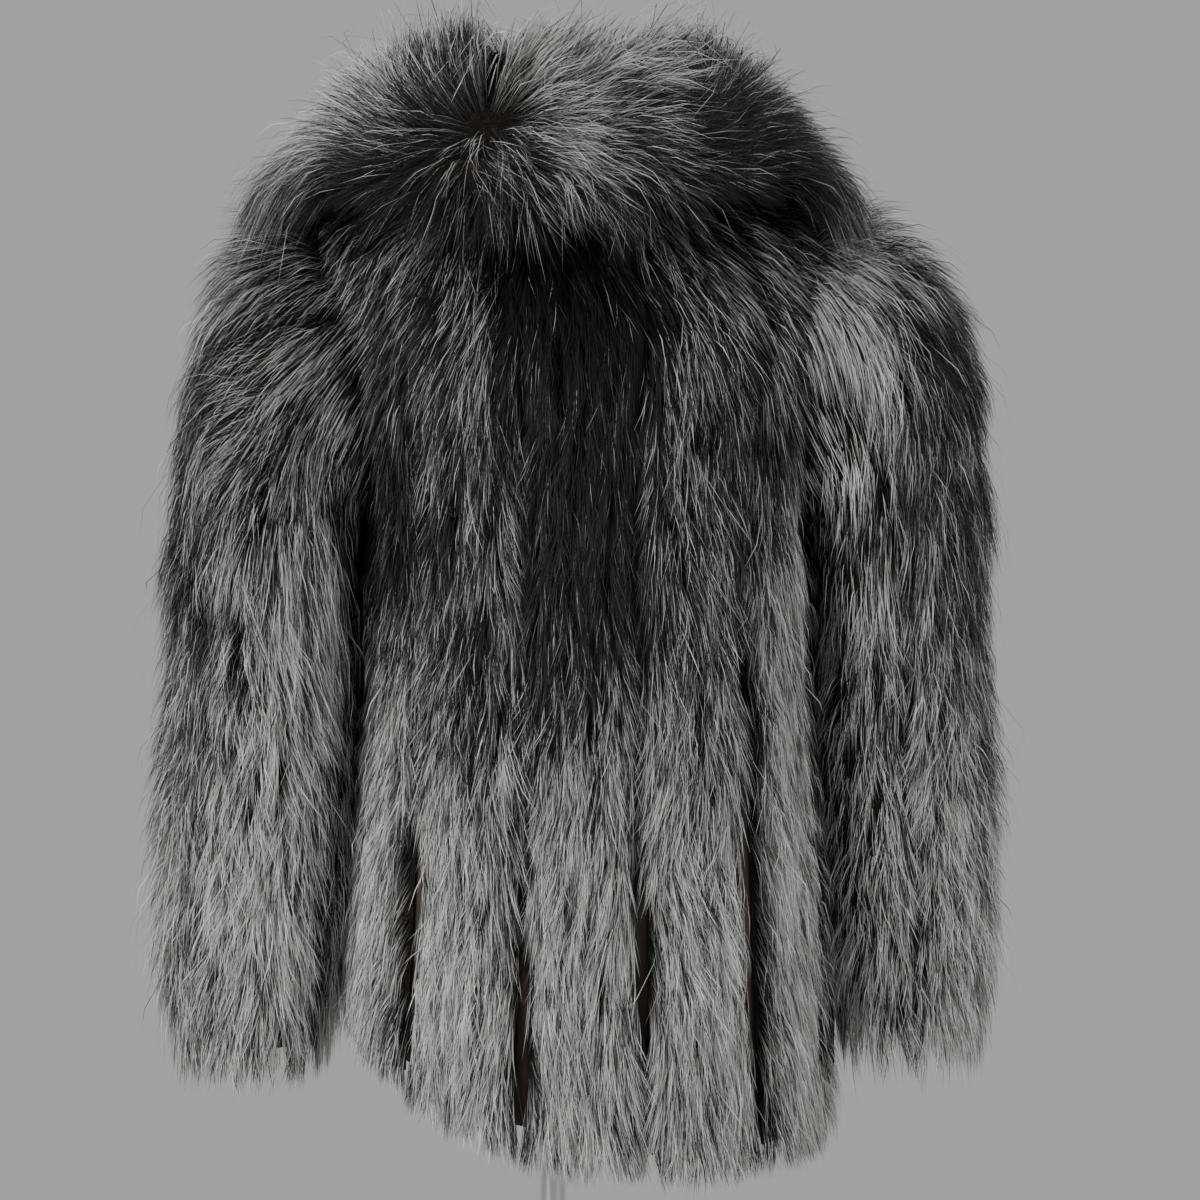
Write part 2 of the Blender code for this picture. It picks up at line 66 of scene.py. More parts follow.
SLEEVE = np.array([
    (0.1810, 1.0220, 0.2320, 1.2320, 0.0770, 0.002, -0.002, 0.000),
    (0.1860, 1.0100, 0.2680, 1.2050, 0.0780, 0.006, -0.005, 0.000),
    (0.1900, 0.9940, 0.2960, 1.1550, 0.0770, 0.012, -0.010, 0.002),
    (0.1920, 0.9720, 0.3090, 1.0900, 0.0760, 0.020, -0.015, 0.004),
    (0.1920, 0.9450, 0.3120, 1.0200, 0.0740, 0.028, -0.020, 0.006),
    (0.1930, 0.8850, 0.3130, 0.9250, 0.0710, 0.038, -0.026, 0.008),
    (0.1950, 0.8100, 0.3170, 0.8250, 0.0680, 0.046, -0.029, 0.008),
    (0.2000, 0.7300, 0.3210, 0.7350, 0.0650, 0.050, -0.030, 0.008),
    (0.2050, 0.6600, 0.3220, 0.6600, 0.0625, 0.051, -0.030, 0.008),
    (0.2110, 0.5900, 0.3190, 0.5900, 0.0585, 0.050, -0.028, 0.008),
])
CUFF = len(SLEEVE)
TWIST = {1: math.radians(-12.5), -1: 0.0}
SEAM_TURN = {1: math.radians(67.5), -1: math.radians(90)}
COLLAR = np.array([
    (1.2785, 0.0775, 0.0570, 0.0710, 0.000),
    (1.3080, 0.0900, 0.0710, 0.0850, 0.008),
    (1.3360, 0.1110, 0.0900, 0.1040, 0.022),
    (1.3500, 0.1330, 0.1070, 0.1220, 0.044),
    (1.3420, 0.1540, 0.1220, 0.1390, 0.044),
    (1.3180, 0.1800, 0.1390, 0.1540, 0.040),
    (1.2900, 0.2030, 0.1540, 0.1660, 0.034),
    (1.2640, 0.2210, 0.1660, 0.1760, 0.028),
])
FOLD = 3
COLLAR_END = math.radians(158)
COLLAR_BACK_DROP, COLLAR_SIDE_LIFT = 0.018, 0.016
LEAN_LOW, LEAN_HIGH = -0.026, -0.006
LEFT_HEM_RISE, FRONT_HEM_RISE, FRONT_NECK_DROP = 0.115, 0.050, 0.015
FORM = np.array([
    (0.740, 0.128, 0.100, 0.105),
    (0.800, 0.133, 0.104, 0.112),
    (0.900, 0.122, 0.094, 0.100),
    (1.000, 0.131, 0.104, 0.110),
    (1.080, 0.136, 0.106, 0.114),
    (1.140, 0.140, 0.098, 0.112),
    (1.180, 0.142, 0.084, 0.102),
    (1.210, 0.137, 0.070, 0.088),
    (1.232, 0.122, 0.059, 0.076),
    (1.246, 0.103, 0.053, 0.067),
    (1.256, 0.084, 0.049, 0.060),
    (1.264, 0.066, 0.047, 0.055),
    (1.278, 0.053, 0.045, 0.050),
    (1.306, 0.050, 0.043, 0.047),
    (1.316, 0.046, 0.039, 0.043),
])
POLE_RADIUS = 0.011
BASE_RADIUS, BASE_HEIGHT = 0.150, 0.009
STRIP = 1 / 12


def curve(xs, ys, at):
    """A smooth curve through a table's column, straight past its two ends."""
    xs, ys = np.asarray(xs, float), np.asarray(ys, float)
    at = np.asarray(at, float)
    step = np.diff(xs)
    slope = np.diff(ys) / step
    m = np.concatenate([[slope[0]], np.zeros(len(xs) - 2), [slope[-1]]])
    for i in range(1, len(xs) - 1):
        if slope[i - 1] * slope[i] > 0:
            w1, w2 = 2 * step[i] + step[i - 1], step[i] + 2 * step[i - 1]
            m[i] = (w1 + w2) / (w1 / slope[i - 1] + w2 / slope[i])
    k = np.clip(np.searchsorted(xs, at) - 1, 0, len(xs) - 2)
    t = np.clip((at - xs[k]) / step[k], 0, 1)
    y = (
        ys[k] * (1 + 2 * t) * (1 - t) ** 2
        + ys[k + 1] * t * t * (3 - 2 * t)
        + step[k] * (m[k] * t * (1 - t) ** 2 - m[k + 1] * t * t * (1 - t))
    )
    return y + np.minimum(at - xs[0], 0) * m[0] + np.maximum(at - xs[-1], 0) * m[-1]


def ease(value, low, high):
    t = np.clip((value - low) / (high - low), 0, 1)
    return t * t * (3 - 2 * t)


def lean(z):
    return LEAN_LOW + (LEAN_HIGH - LEAN_LOW) * ease(z, 1.14, 1.26)


def oval(angle, half_width, front, back):
    s, c = np.sin(angle), np.cos(angle)
    power = 2 / SQUARENESS
    x = half_width * np.sign(s) * np.abs(s) ** power
    y = np.where(c > 0, back, front) * np.sign(c) * np.abs(c) ** power
    return x, y


def hem_rise(angle):
    deg = np.degrees(angle)
    back = LEFT_HEM_RISE * ease(deg, -20, 105)
    return back + (FRONT_HEM_RISE - back) * ease(np.abs(deg), 105, 180)


def body(row, angle):
    row, angle = np.broadcast_arrays(np.asarray(row, float), np.asarray(angle, float))
    a, front, back = (curve(BODY[:, 0], BODY[:, i], row) for i in (1, 2, 3))
    x, y = oval(angle, a, front, back)
    z = row + hem_rise(angle) * (1 - ease(row, 0.50, 0.95))
    z = z - FRONT_NECK_DROP * ease(np.abs(angle), 2.0, 3.0) * ease(row, 1.08, 1.24)
    return np.stack([x + lean(z), y, z], -1)


def section_run(row):
    angles = np.linspace(0, math.pi, 721)
    x, y = oval(angles, *(curve(BODY[:, 0], BODY[:, i], row) for i in (1, 2, 3)))
    run = np.concatenate([[0], np.cumsum(np.hypot(np.diff(x), np.diff(y)))])
    return angles, run / run[-1] / 2


def angle_of_share(row, share):
    angles, run = section_run(row)
    return np.sign(share) * np.interp(np.abs(share), run, angles)


def share_of_depth(row, depth):
    reach = curve(BODY[:, 0], BODY[:, 3 if depth >= 0 else 2], row)
    angle = math.acos(math.copysign(min(abs(depth) / reach, 1) ** (SQUARENESS / 2), depth))
    angles, run = section_run(row)
    return float(np.interp(angle, angles, run))


def sleeve_ring(r, side, angles):
    """Ring r of a sleeve, any number from 0, the armhole, to the cuff."""
    ring0 = None
    if r < 1:
        rows = ARM_Z + (ARM_HALF_HEIGHT - 0.0006) * np.cos(angles)
        depths = (ARM_HALF_DEPTH - 0.0006) * np.sin(angles)
        turned = []
        for w, d in zip(rows, depths):
            reach = curve(BODY[:, 0], BODY[:, 3 if d >= 0 else 2], w)
            turned.append(
                side * math.acos(math.copysign(min(abs(d) / reach, 1) ** (SQUARENESS / 2), d))
            )
        ring0 = body(rows, np.array(turned))
    index = np.arange(1, CUFF + 1)
    at = max(r, 1)
    xi, zi, xo, zo, depth, left, right, further = (
        float(curve(index, SLEEVE[:, i], at)) for i in range(8)
    )
    turn = angles + TWIST[side] * min(at / 3, 1)
    s, c = np.sin(turn), np.cos(turn)
    centre = np.array([(xi + xo) / 2 + (further if side < 0 else 0), left if side > 0 else right, (zi + zo) / 2])
    across = np.array([(xo - xi) / 2, 0, (zo - zi) / 2])
    ring = centre + c[:, None] * across + s[:, None] * np.array([0, depth, 0])
    ring[:, 0] = side * ring[:, 0] + lean(ring[:, 2])
    if ring0 is not None:
        ring = ring0 + (ring - ring0) * r
    return ring


def collar_rows(rows, angles):
    """Points of the collar at any row numbers, by rows and angles."""
    result = []
    index = np.arange(len(COLLAR))
    for i in rows:
        z, a, front, back = (float(curve(index, COLLAR[:, c], i)) for c in range(4))
        x, y = oval(angles, a, front, back)
        far = max(i - 3, 0) / (len(COLLAR) - 4)
        height = z - FRONT_NECK_DROP * ease(np.abs(angles), 2.0, 3.0)
        height = height - COLLAR_BACK_DROP * far * (1 - ease(np.abs(angles), 0.2, 1.2))
        height = height + COLLAR_SIDE_LIFT * far * np.exp(-(((np.abs(angles) - 1.57) / 0.45) ** 2))
        result.append(np.stack([x + lean(1.26), y, height], -1))
    return np.array(result)


# ------------------------------------------------------------------ surfaces


class Surface:
    """A smooth surface kept as a fine grid, read anywhere, also a little past its edges."""

    def __init__(self, points, u, v, flip=False):
        self.p, self.u, self.v = points, u, v
        du, dv = np.gradient(points, axis=1), np.gradient(points, axis=0)
        n = np.cross(du, dv)
        n /= np.maximum(np.linalg.norm(n, axis=-1, keepdims=True), 1e-12)
        self.n = -n if flip else n
        # metres for one unit of u and of v
        self.mu = np.linalg.norm(du, axis=-1) / (u[1] - u[0])
        self.mv = np.linalg.norm(dv, axis=-1) / (v[1] - v[0])

    def _cell(self, u, v):
        a = (u - self.u[0]) / (self.u[1] - self.u[0])
        b = (v - self.v[0]) / (self.v[1] - self.v[0])
        i = np.clip(np.floor(a).astype(int), 0, len(self.u) - 2)
        j = np.clip(np.floor(b).astype(int), 0, len(self.v) - 2)
        return i, j, a - i, b - j

    def _mix(self, grid, u, v, beyond):
        i, j, a, b = self._cell(u, v)
        if not beyond:
            a, b = np.clip(a, 0, 1), np.clip(b, 0, 1)
        if grid.ndim == 3:
            a, b = a[..., None], b[..., None]
        low = grid[j, i] * (1 - a) + grid[j, i + 1] * a
        high = grid[j + 1, i] * (1 - a) + grid[j + 1, i + 1] * a
        return low * (1 - b) + high * b

    def at(self, u, v):
        return self._mix(self.p, u, v, True)

    def normal(self, u, v):
        n = self._mix(self.n, u, v, False)
        return n / np.linalg.norm(n, axis=-1, keepdims=True)

    def metres(self, u, v):
        return self._mix(self.mu, u, v, False), self._mix(self.mv, u, v, False)


def body_surface():
    v = np.linspace(0.470, 1.292, 150)
    u = np.linspace(-0.62, 0.62, 249)
    rows = []
    for w in v:
        shares = (u + 0.5) % 1 - 0.5
        rows.append(body(w, angle_of_share(w, shares)))
    return Surface(np.array(rows), u, v, flip=True)


def sleeve_surface(side):
    v = np.linspace(0, CUFF + 0.5, 148)
    u = np.linspace(-0.75 * math.pi, 2.75 * math.pi, 169)
    return Surface(np.array([sleeve_ring(r, side, u) for r in v]), u, v, flip=side > 0)


def collar_surface():
    u = np.linspace(-COLLAR_END, COLLAR_END, 181)
    v = np.linspace(0, len(COLLAR) - 1, 99)
    return Surface(collar_rows(v, u), u, v, flip=False)


BODY_SURF = body_surface()
SLEEVES = {1: sleeve_surface(1), -1: sleeve_surface(-1)}
COLLAR_SURF = collar_surface()

# Each surface's normals have to point out of the garment.
def outward(surface, u, v, towards):
    n = surface.normal(np.array([u]), np.array([v]))[0]
    if np.dot(n, towards) < 0:
        surface.n = -surface.n


outward(BODY_SURF, 0.0, 0.8, (0, 1, 0))
outward(SLEEVES[1], 0.5 * math.pi, 6.0, (0, 1, 0))
outward(SLEEVES[-1], 0.5 * math.pi, 6.0, (0, 1, 0))
outward(COLLAR_SURF, 0.0, 6.0, (0, 1, 0))

# The panels' edges round the armhole, row by row, as the panels are cut
ARM_ROWS = [ARM_Z - ARM_HALF_HEIGHT * math.cos(k * math.pi / 8) for k in range(1, 9)]
EDGE_ROWS = np.array([0.985] + ARM_ROWS + [1.262, 1.280])
BACK_EDGE = np.array(
    [2.5 * STRIP]
    + [share_of_depth(w, 0.0756 * math.sin(k * math.pi / 8)) for k, w in enumerate(ARM_ROWS, 1)]
    + [share_of_depth(1.262, 0.0), share_of_depth(1.280, 0.0)]
)
FRONT_EDGE = np.array(
    [3.5 * STRIP]
    + [share_of_depth(w, -0.0756 * math.sin(k * math.pi / 8)) for k, w in enumerate(ARM_ROWS, 1)]
    + [share_of_depth(1.262, 0.0), share_of_depth(1.280, 0.0)]
)


def back_edge(w):
    return np.interp(w, EDGE_ROWS, BACK_EDGE)


def front_edge(w):
    return np.interp(w, EDGE_ROWS, FRONT_EDGE)


# ------------------------------------------------------------------ materials


def new_material(name, roughness, metallic=0.0):
    made = bpy.data.materials.new(name)
    made.use_nodes = True
    shader = made.node_tree.nodes["Principled BSDF"]
    shader.inputs["Roughness"].default_value = roughness
    shader.inputs["Metallic"].default_value = metallic
    return made, made.node_tree, shader


def node(tree, kind, **settings):
    made = tree.nodes.new(kind)
    for key, value in settings.items():
        if key in made.inputs:
            made.inputs[key].default_value = value
        else:
            setattr(made, key, value)
    return made


def ramp(tree, source, stops):
    made = tree.nodes.new("ShaderNodeValToRGB")
    while len(made.color_ramp.elements) < len(stops):
        made.color_ramp.elements.new(0.5)
    for element, (place, colour) in zip(made.color_ramp.elements, stops):
        element.position, element.color = place, (*colour, 1)
    tree.links.new(source, made.inputs["Fac"])
    return made.outputs["Color"]


def stretched(tree, scale):
    """Object coordinates, stretched so that a pattern runs down the garment."""
    coordinates = tree.nodes.new("ShaderNodeTexCoord")
    mapping = tree.nodes.new("ShaderNodeMapping")
    mapping.inputs["Scale"].default_value = scale
    tree.links.new(coordinates.outputs["Object"], mapping.inputs["Vector"])
    return mapping.outputs["Vector"]


def bumped(tree, shader, height, strength, distance):
    bump = tree.nodes.new("ShaderNodeBump")
    bump.inputs["Strength"].default_value = strength
    bump.inputs["Distance"].default_value = distance
    tree.links.new(height, bump.inputs["Height"])
    tree.links.new(bump.outputs["Normal"], shader.inputs["Normal"])


def hair_material():
    made, tree, shader = new_material("guard_hair", 0.36)
    colour = node(tree, "ShaderNodeAttribute", attribute_name="hair_colour")
    tree.links.new(colour.outputs["Color"], shader.inputs["Base Color"])
    shader.inputs["Specular IOR Level"].default_value = 0.35
    return made


def underfur_material():
    made, tree, shader = new_material("underfur", 0.9)
    noise = node(tree, "ShaderNodeTexNoise", Scale=1.0, Detail=6.0, Roughness=0.7)
    tree.links.new(stretched(tree, (900, 900, 60)), noise.inputs["Vector"])
    colour = ramp(
        tree,
        noise.outputs["Fac"],
        [(0.30, (0.006, 0.005, 0.005)), (0.52, (0.022, 0.019, 0.018)), (0.75, (0.075, 0.070, 0.067))],
    )
    tree.links.new(colour, shader.inputs["Base Color"])
    bumped(tree, shader, noise.outputs["Fac"], 0.9, 0.004)
    shader.inputs["Specular IOR Level"].default_value = 0.1
    return made


def leather_material():
    made, tree, shader = new_material("suede_leather", 0.72)
    noise = node(tree, "ShaderNodeTexNoise", Scale=28.0, Detail=5.0, Roughness=0.6)
    tree.links.new(stretched(tree, (1, 1, 0.5)), noise.inputs["Vector"])
    colour = ramp(
        tree,
        noise.outputs["Fac"],
        [(0.30, (0.026, 0.019, 0.017)), (0.55, (0.050, 0.038, 0.034)), (0.80, (0.082, 0.064, 0.058))],
    )
    tree.links.new(colour, shader.inputs["Base Color"])
    fine = node(tree, "ShaderNodeTexNoise", Scale=900.0, Detail=3.0, Roughness=0.6)
    tree.links.new(stretched(tree, (1, 1, 1)), fine.inputs["Vector"])
    bumped(tree, shader, fine.outputs["Fac"], 0.35, 0.0006)
    shader.inputs["Sheen Weight"].default_value = 0.25
    shader.inputs["Sheen Roughness"].default_value = 0.5
    shader.inputs["Specular IOR Level"].default_value = 0.3
    return made


def cover_material():
    made, tree, shader = new_material("form_jersey", 0.85)
    wave = node(tree, "ShaderNodeTexNoise", Scale=1.0, Detail=2.0)
    tree.links.new(stretched(tree, (1400, 1400, 700)), wave.inputs["Vector"])
    colour = ramp(
        tree, wave.outputs["Fac"], [(0.35, (0.46, 0.44, 0.41)), (0.65, (0.60, 0.58, 0.55))]
    )
    tree.links.new(colour, shader.inputs["Base Color"])
    bumped(tree, shader, wave.outputs["Fac"], 0.3, 0.0005)
    return made


def chrome_material():
    made, tree, shader = new_material("chrome", 0.08, 1.0)
    shader.inputs["Base Color"].default_value = (0.62, 0.62, 0.63, 1)
    noise = node(tree, "ShaderNodeTexNoise", Scale=1.0, Detail=3.0)
    tree.links.new(stretched(tree, (160, 160, 30)), noise.inputs["Vector"])
    spread = node(tree, "ShaderNodeMapRange")
    spread.inputs["To Min"].default_value = 0.05
    spread.inputs["To Max"].default_value = 0.20
    tree.links.new(noise.outputs["Fac"], spread.inputs["Value"])
    tree.links.new(spread.outputs["Result"], shader.inputs["Roughness"])
    return made


HAIR, UNDER = hair_material(), underfur_material()
SUEDE, COVER, CHROME = leather_material(), cover_material(), chrome_material()

# ---------------------------------------------------------------- mesh making


def mesh_object(name, points, triangles, looks, index=None, colours=None, smooth=True):
    mesh = bpy.data.meshes.new(name)
    count = len(triangles)
    mesh.vertices.add(len(points))
    mesh.vertices.foreach_set("co", np.asarray(points, np.float32).ravel())
    mesh.loops.add(count * 3)
    mesh.loops.foreach_set("vertex_index", np.asarray(triangles, np.int32).ravel())
    mesh.polygons.add(count)
    mesh.polygons.foreach_set("loop_start", np.arange(0, count * 3, 3, dtype=np.int32))
    if index is not None:
        mesh.polygons.foreach_set("material_index", np.asarray(index, np.int32))
    mesh.update(calc_edges=True)
    if smooth:
        mesh.polygons.foreach_set("use_smooth", np.ones(count, bool))
    for look in looks:
        mesh.materials.append(look)
    if colours is not None:
        layer = mesh.color_attributes.new("hair_colour", "FLOAT_COLOR", "POINT")
        rgba = np.ones((len(points), 4), np.float32)
        rgba[:, :3] = colours
        layer.data.foreach_set("color", rgba.ravel())
    piece = bpy.data.objects.new(name, mesh)
    bpy.context.scene.collection.objects.link(piece)
    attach(piece, "root")
    return piece


def grid_triangles(rows, cols, wrap=False, start=0):
    r, c = np.meshgrid(np.arange(rows - 1), np.arange(cols if wrap else cols - 1), indexing="ij")
    a = r * cols + c
    b = r * cols + (c + 1) % cols
    d = a + cols
    e = b + cols
    return start + np.concatenate(
        [np.stack([a, b, e], -1).reshape(-1, 3), np.stack([a, e, d], -1).reshape(-1, 3)]
    )


def shell(name, outer, normals, thickness, wrap, look):
    """A closed thin wall, its outer face on the grid and its inner face inside it."""
    inner = outer - normals * thickness
    rows, cols = outer.shape[:2]
    count = rows * cols
    top = grid_triangles(rows, cols, wrap)
    under = top[:, ::-1] + count
    rim = []
    k = np.arange(cols if wrap else cols - 1)
    n = (k + 1) % cols
    for first, turn in ((0, 1), ((rows - 1) * cols, -1)):
        a, b = first + k, first + n
        for tri in ((b, a, a + count), (b, a + count, b + count)):
            rim.append(np.stack(tri[::turn], -1))
    if not wrap:
        r = np.arange(rows - 1) * cols
        for add, turn in ((0, 1), (cols - 1, -1)):
            a, b = r + add, r + add + cols
            for tri in ((a, b, b + count), (a, b + count, a + count)):
                rim.append(np.stack(tri[::turn], -1))
    points = np.concatenate([outer.reshape(-1, 3), inner.reshape(-1, 3)])
    triangles = np.concatenate([top, under, *rim])
    corners = points[triangles]
    if np.linalg.det(corners - points.mean(0)).sum() < 0:
        triangles = triangles[:, ::-1]
    return mesh_object(name, points, triangles, [look])


def declare(node_name):
    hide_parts(node_name)


# --------------------------------------------------------- the leather panels


def flutes(points, normals, shares, rows):
    """Soft lengthwise waves, deepest at the hem, where each strip swings free."""
    low = 1 - ease(rows, 0.50, 0.86)
    depth = 0.0016 + 0.0022 * np.sin(shares * 31.0 + 1.3) ** 2
    wave = np.cos(shares / STRIP * 2 * math.pi) * depth + 0.0012 * np.sin(shares * 57 + rows * 21)
    return points - normals * ((0.0020 - wave) * low)[..., None]


def body_panel(name, low, high, v0, v1, columns, rows):
    v = np.linspace(v0, v1, rows)
    u = np.array([np.linspace(low(w), high(w), columns) for w in v])
    vv = np.repeat(v[:, None], columns, 1)
    points, normals = BODY_SURF.at(u, vv), BODY_SURF.normal(u, vv)
    points = flutes(points, normals, u, vv)
    piece = shell(f"panel_{name}", points, normals, LEATHER, False, SUEDE)
    declare(f"skin_{name}")


body_panel("back", lambda w: -back_edge(w) + 3e-4, lambda w: back_edge(w) - 3e-4, 0.520, 1.280, 51, 64)
for SIDE, WORD in ((1, "left"), (-1, "right")):
    def between(low, high, side=SIDE):
        if side > 0:
            return low, high
        return (lambda w: -high(w)), (lambda w: -low(w))

    lo, hi = between(lambda w: front_edge(w) + 3e-4, lambda w: 0.5 - 0.0016)
    body_panel(f"front_{WORD}", lo, hi, 0.520, 1.280, 27, 64)
    lo, hi = between(lambda w: 2.5 * STRIP + 3e-4, lambda w: 3.5 * STRIP - 3e-4)
    body_panel(f"side_{WORD}", lo, hi, 0.520, 1.026, 13, 42)
    SURF = SLEEVES[SIDE]
    V = np.linspace(0, CUFF, 61)
    U = np.linspace(0, 2 * math.pi, 44, endpoint=False)
    UU, VV = np.meshgrid(U, V)
    RING, OUT = SURF.at(UU, VV), SURF.normal(UU, VV)
    # soft drag folds where the arm hangs, deepest at the elbow
    FOLDS = 0.0018 * np.sin(VV * 3.1 + 1.3 * np.sin(UU)) * ease(VV, 3, 5) * (1 - ease(VV, 8.5, 10))
    RING = RING - OUT * (0.0015 + np.abs(FOLDS))[..., None]
    PIECE = shell(f"panel_sleeve_{WORD}", RING, OUT, LEATHER, True, SUEDE)
    declare(f"skin_sleeve_{WORD}")

for WORD, V0, V1 in (("stand", 0.0, FOLD - 0.01), ("fall", FOLD + 0.01, len(COLLAR) - 1.0)):
    U = np.linspace(-COLLAR_END, COLLAR_END, 73)
    UU, VV = np.meshgrid(U, np.linspace(V0, V1, 14))
    RING, OUT = COLLAR_SURF.at(UU, VV), COLLAR_SURF.normal(UU, VV)
    PIECE = shell(f"panel_collar_{WORD}", RING, OUT, LEATHER, False, SUEDE)
    declare(f"skin_collar_{WORD}")

# -------------------------------------------------------------------- the fur


def lattice_noise(seed, u, v):
    """Smooth noise from -1 to 1 over a plane, one wave a unit."""
    rng = np.random.default_rng(seed)
    table = rng.uniform(-1, 1, (64, 64))
    i, j = np.floor(u).astype(int), np.floor(v).astype(int)
    a, b = u - i, v - j
    a, b = a * a * (3 - 2 * a), b * b * (3 - 2 * b)
    at = lambda x, y: table[x % 64, y % 64]
    low = at(i, j) * (1 - a) + at(i + 1, j) * a
    high = at(i, j + 1) * (1 - a) + at(i + 1, j + 1) * a
    return low * (1 - b) + high * b


# Lighter and darker areas of the coat seen from behind, partly the fur's own silver and partly
# painted light: a painted highlight on the wearer's right shoulder (x near -0.2) and painted light
# where the left sleeve meets the body (x near 0.2 to 0.25), where shade falls. Each gives its centre
# (x from the coat's middle, height), half size (x, height), and how much more silver there is,
# painted light included, than in the general run from dark shoulders to a silver hem.
SILVER_AND_PAINTED_LIGHT_ZONES = (
    (-0.200, 1.150, 0.030, 0.085, 1.00),
    (-0.208, 1.110, 0.020, 0.050, 0.60),
    (-0.258, 1.160, 0.020, 0.070, -0.26),
    (-0.250, 1.000, 0.040, 0.140, 0.20),
    (-0.255, 0.950, 0.030, 0.060, 0.20),
    (-0.310, 1.120, 0.030, 0.090, -0.22),
    (-0.140, 1.060, 0.030, 0.060, -0.08),
    (-0.090, 1.170, 0.050, 0.060, 0.08),
    (-0.160, 0.800, 0.030, 0.210, 0.28),
    (-0.155, 0.960, 0.022, 0.080, 0.34),
    (-0.120, 0.960, 0.030, 0.080, 0.10),
    (0.150, 1.010, 0.022, 0.070, -0.38),
    (0.130, 1.120, 0.028, 0.110, -0.20),
    (0.082, 0.900, 0.020, 0.110, -0.16),
    (0.130, 0.860, 0.025, 0.060, 0.26),
    (0.100, 1.000, 0.030, 0.080, 0.04),
    (0.205, 1.110, 0.035, 0.120, 0.22),
    (0.250, 1.190, 0.060, 0.040, 0.22),
    (-0.172, 1.010, 0.024, 0.060, 0.26),
    (0.225, 0.950, 0.026, 0.070, 0.34),
    (0.180, 0.680, 0.030, 0.100, 0.26),
    (0.250, 1.150, 0.050, 0.060, 0.10),
    (0.275, 0.960, 0.050, 0.120, 0.18),
    (0.330, 1.060, 0.020, 0.200, -0.30),
    (0.100, 0.700, 0.060, 0.130, 0.06),
    (0.260, 0.760, 0.050, 0.120, 0.06),
)


def silver(points):
    x, z = points[:, 0] - lean(points[:, 2]), points[:, 2]
    share = 0.29 + 0.52 * (1 - ease(z, 0.72, 1.00))
    back = ease(points[:, 1], -0.06, 0.02)
    # lighter and darker areas on the back, partly painted light: a painted highlight on the right shoulder and
    # painted light where the left sleeve meets the body
    for cx, cz, rx, rz, more in SILVER_AND_PAINTED_LIGHT_ZONES:
        share = share + more * back * np.exp(-(((x - cx) / rx) ** 2 + ((z - cz) / rz) ** 2) ** 1.2)
    # the near black strip down the middle of the back
    middle = np.exp(-(((x + 0.002) / 0.052) ** 4)) * back
    middle = middle * ease(z, 0.82, 1.00) * (1 - ease(z, 1.24, 1.30))
    return np.clip(share * (1 - 0.97 * middle), 0.01, 0.97)


STATIONS = np.array([0.0, 0.36, 0.72, 1.0])
FACES = np.array([[0, 1, 2], [1, 3, 4], [1, 4, 2], [3, 5, 4]])


# How far tips may stand out to the two sides, and to the front and back
SIDE_LIMITS, DEPTH_LIMITS = (-0.392, 0.342), (-0.181, 0.204)


def kept_in(points):
    """Points with tips beyond the limits pressed softly back towards them."""
    for axis, (least, most), soft in ((0, SIDE_LIMITS, 0.010), (1, DEPTH_LIMITS, 0.016)):
        at = points[..., axis]
        over, under = np.maximum(at - most, 0), np.maximum(least - at, 0)
        at = at - over + soft * (1 - np.exp(-over / soft))
        points[..., axis] = at + under - soft * (1 - np.exp(-under / soft))
    return points


def hair_paths(surface, u, v, down, angle, length, lift, curl, pull_u, straight, edge, droop):
    """Points at the four stations of each hair, and the surface normals under them.

    straight is 1 where a hair leaves the surface along its tangent, as it does over
    the valley of an armhole; droop is how fast it sinks once past the piece's edge.
    """
    mu, mv = surface.metres(u, v)
    root, root_normal = surface.at(u, v), surface.normal(u, v)
    step = 0.004
    ahead = surface.at(u + step * np.sin(angle) / mu, v + down * step * np.cos(angle) / mv) - root
    ahead /= np.maximum(np.linalg.norm(ahead, axis=-1, keepdims=True), 1e-9)
    paths, normals = [], []
    rise = np.array([-0.04, 0.60, 0.94, 1.0])
    run = np.array([0.0, 0.30, 0.66, 0.95])
    pull = np.array([0.0, 0.22, 0.62, 0.85])
    for k in range(4):
        turn = angle + curl * STATIONS[k]
        side = np.sin(turn) * length * run[k] + pull_u * pull[k]
        along = np.cos(turn) * length * run[k]
        uu = u + side / mu
        vv = v + down * along / mv
        n = surface.normal(uu, vv)
        point = surface.at(uu, vv)
        flown = root + ahead * (length * run[k])[:, None]
        point = point + (flown - point) * straight[:, None]
        n = n + (root_normal - n) * straight[:, None]
        n /= np.linalg.norm(n, axis=-1, keepdims=True)
        point = point + n * (lift * rise[k])[:, None]
        beyond = np.maximum(down * (vv - edge), 0) * mv
        point[:, 2] -= droop * beyond**2
        paths.append(point)
        normals.append(n)
    return kept_in(np.array(paths)), np.array(normals)


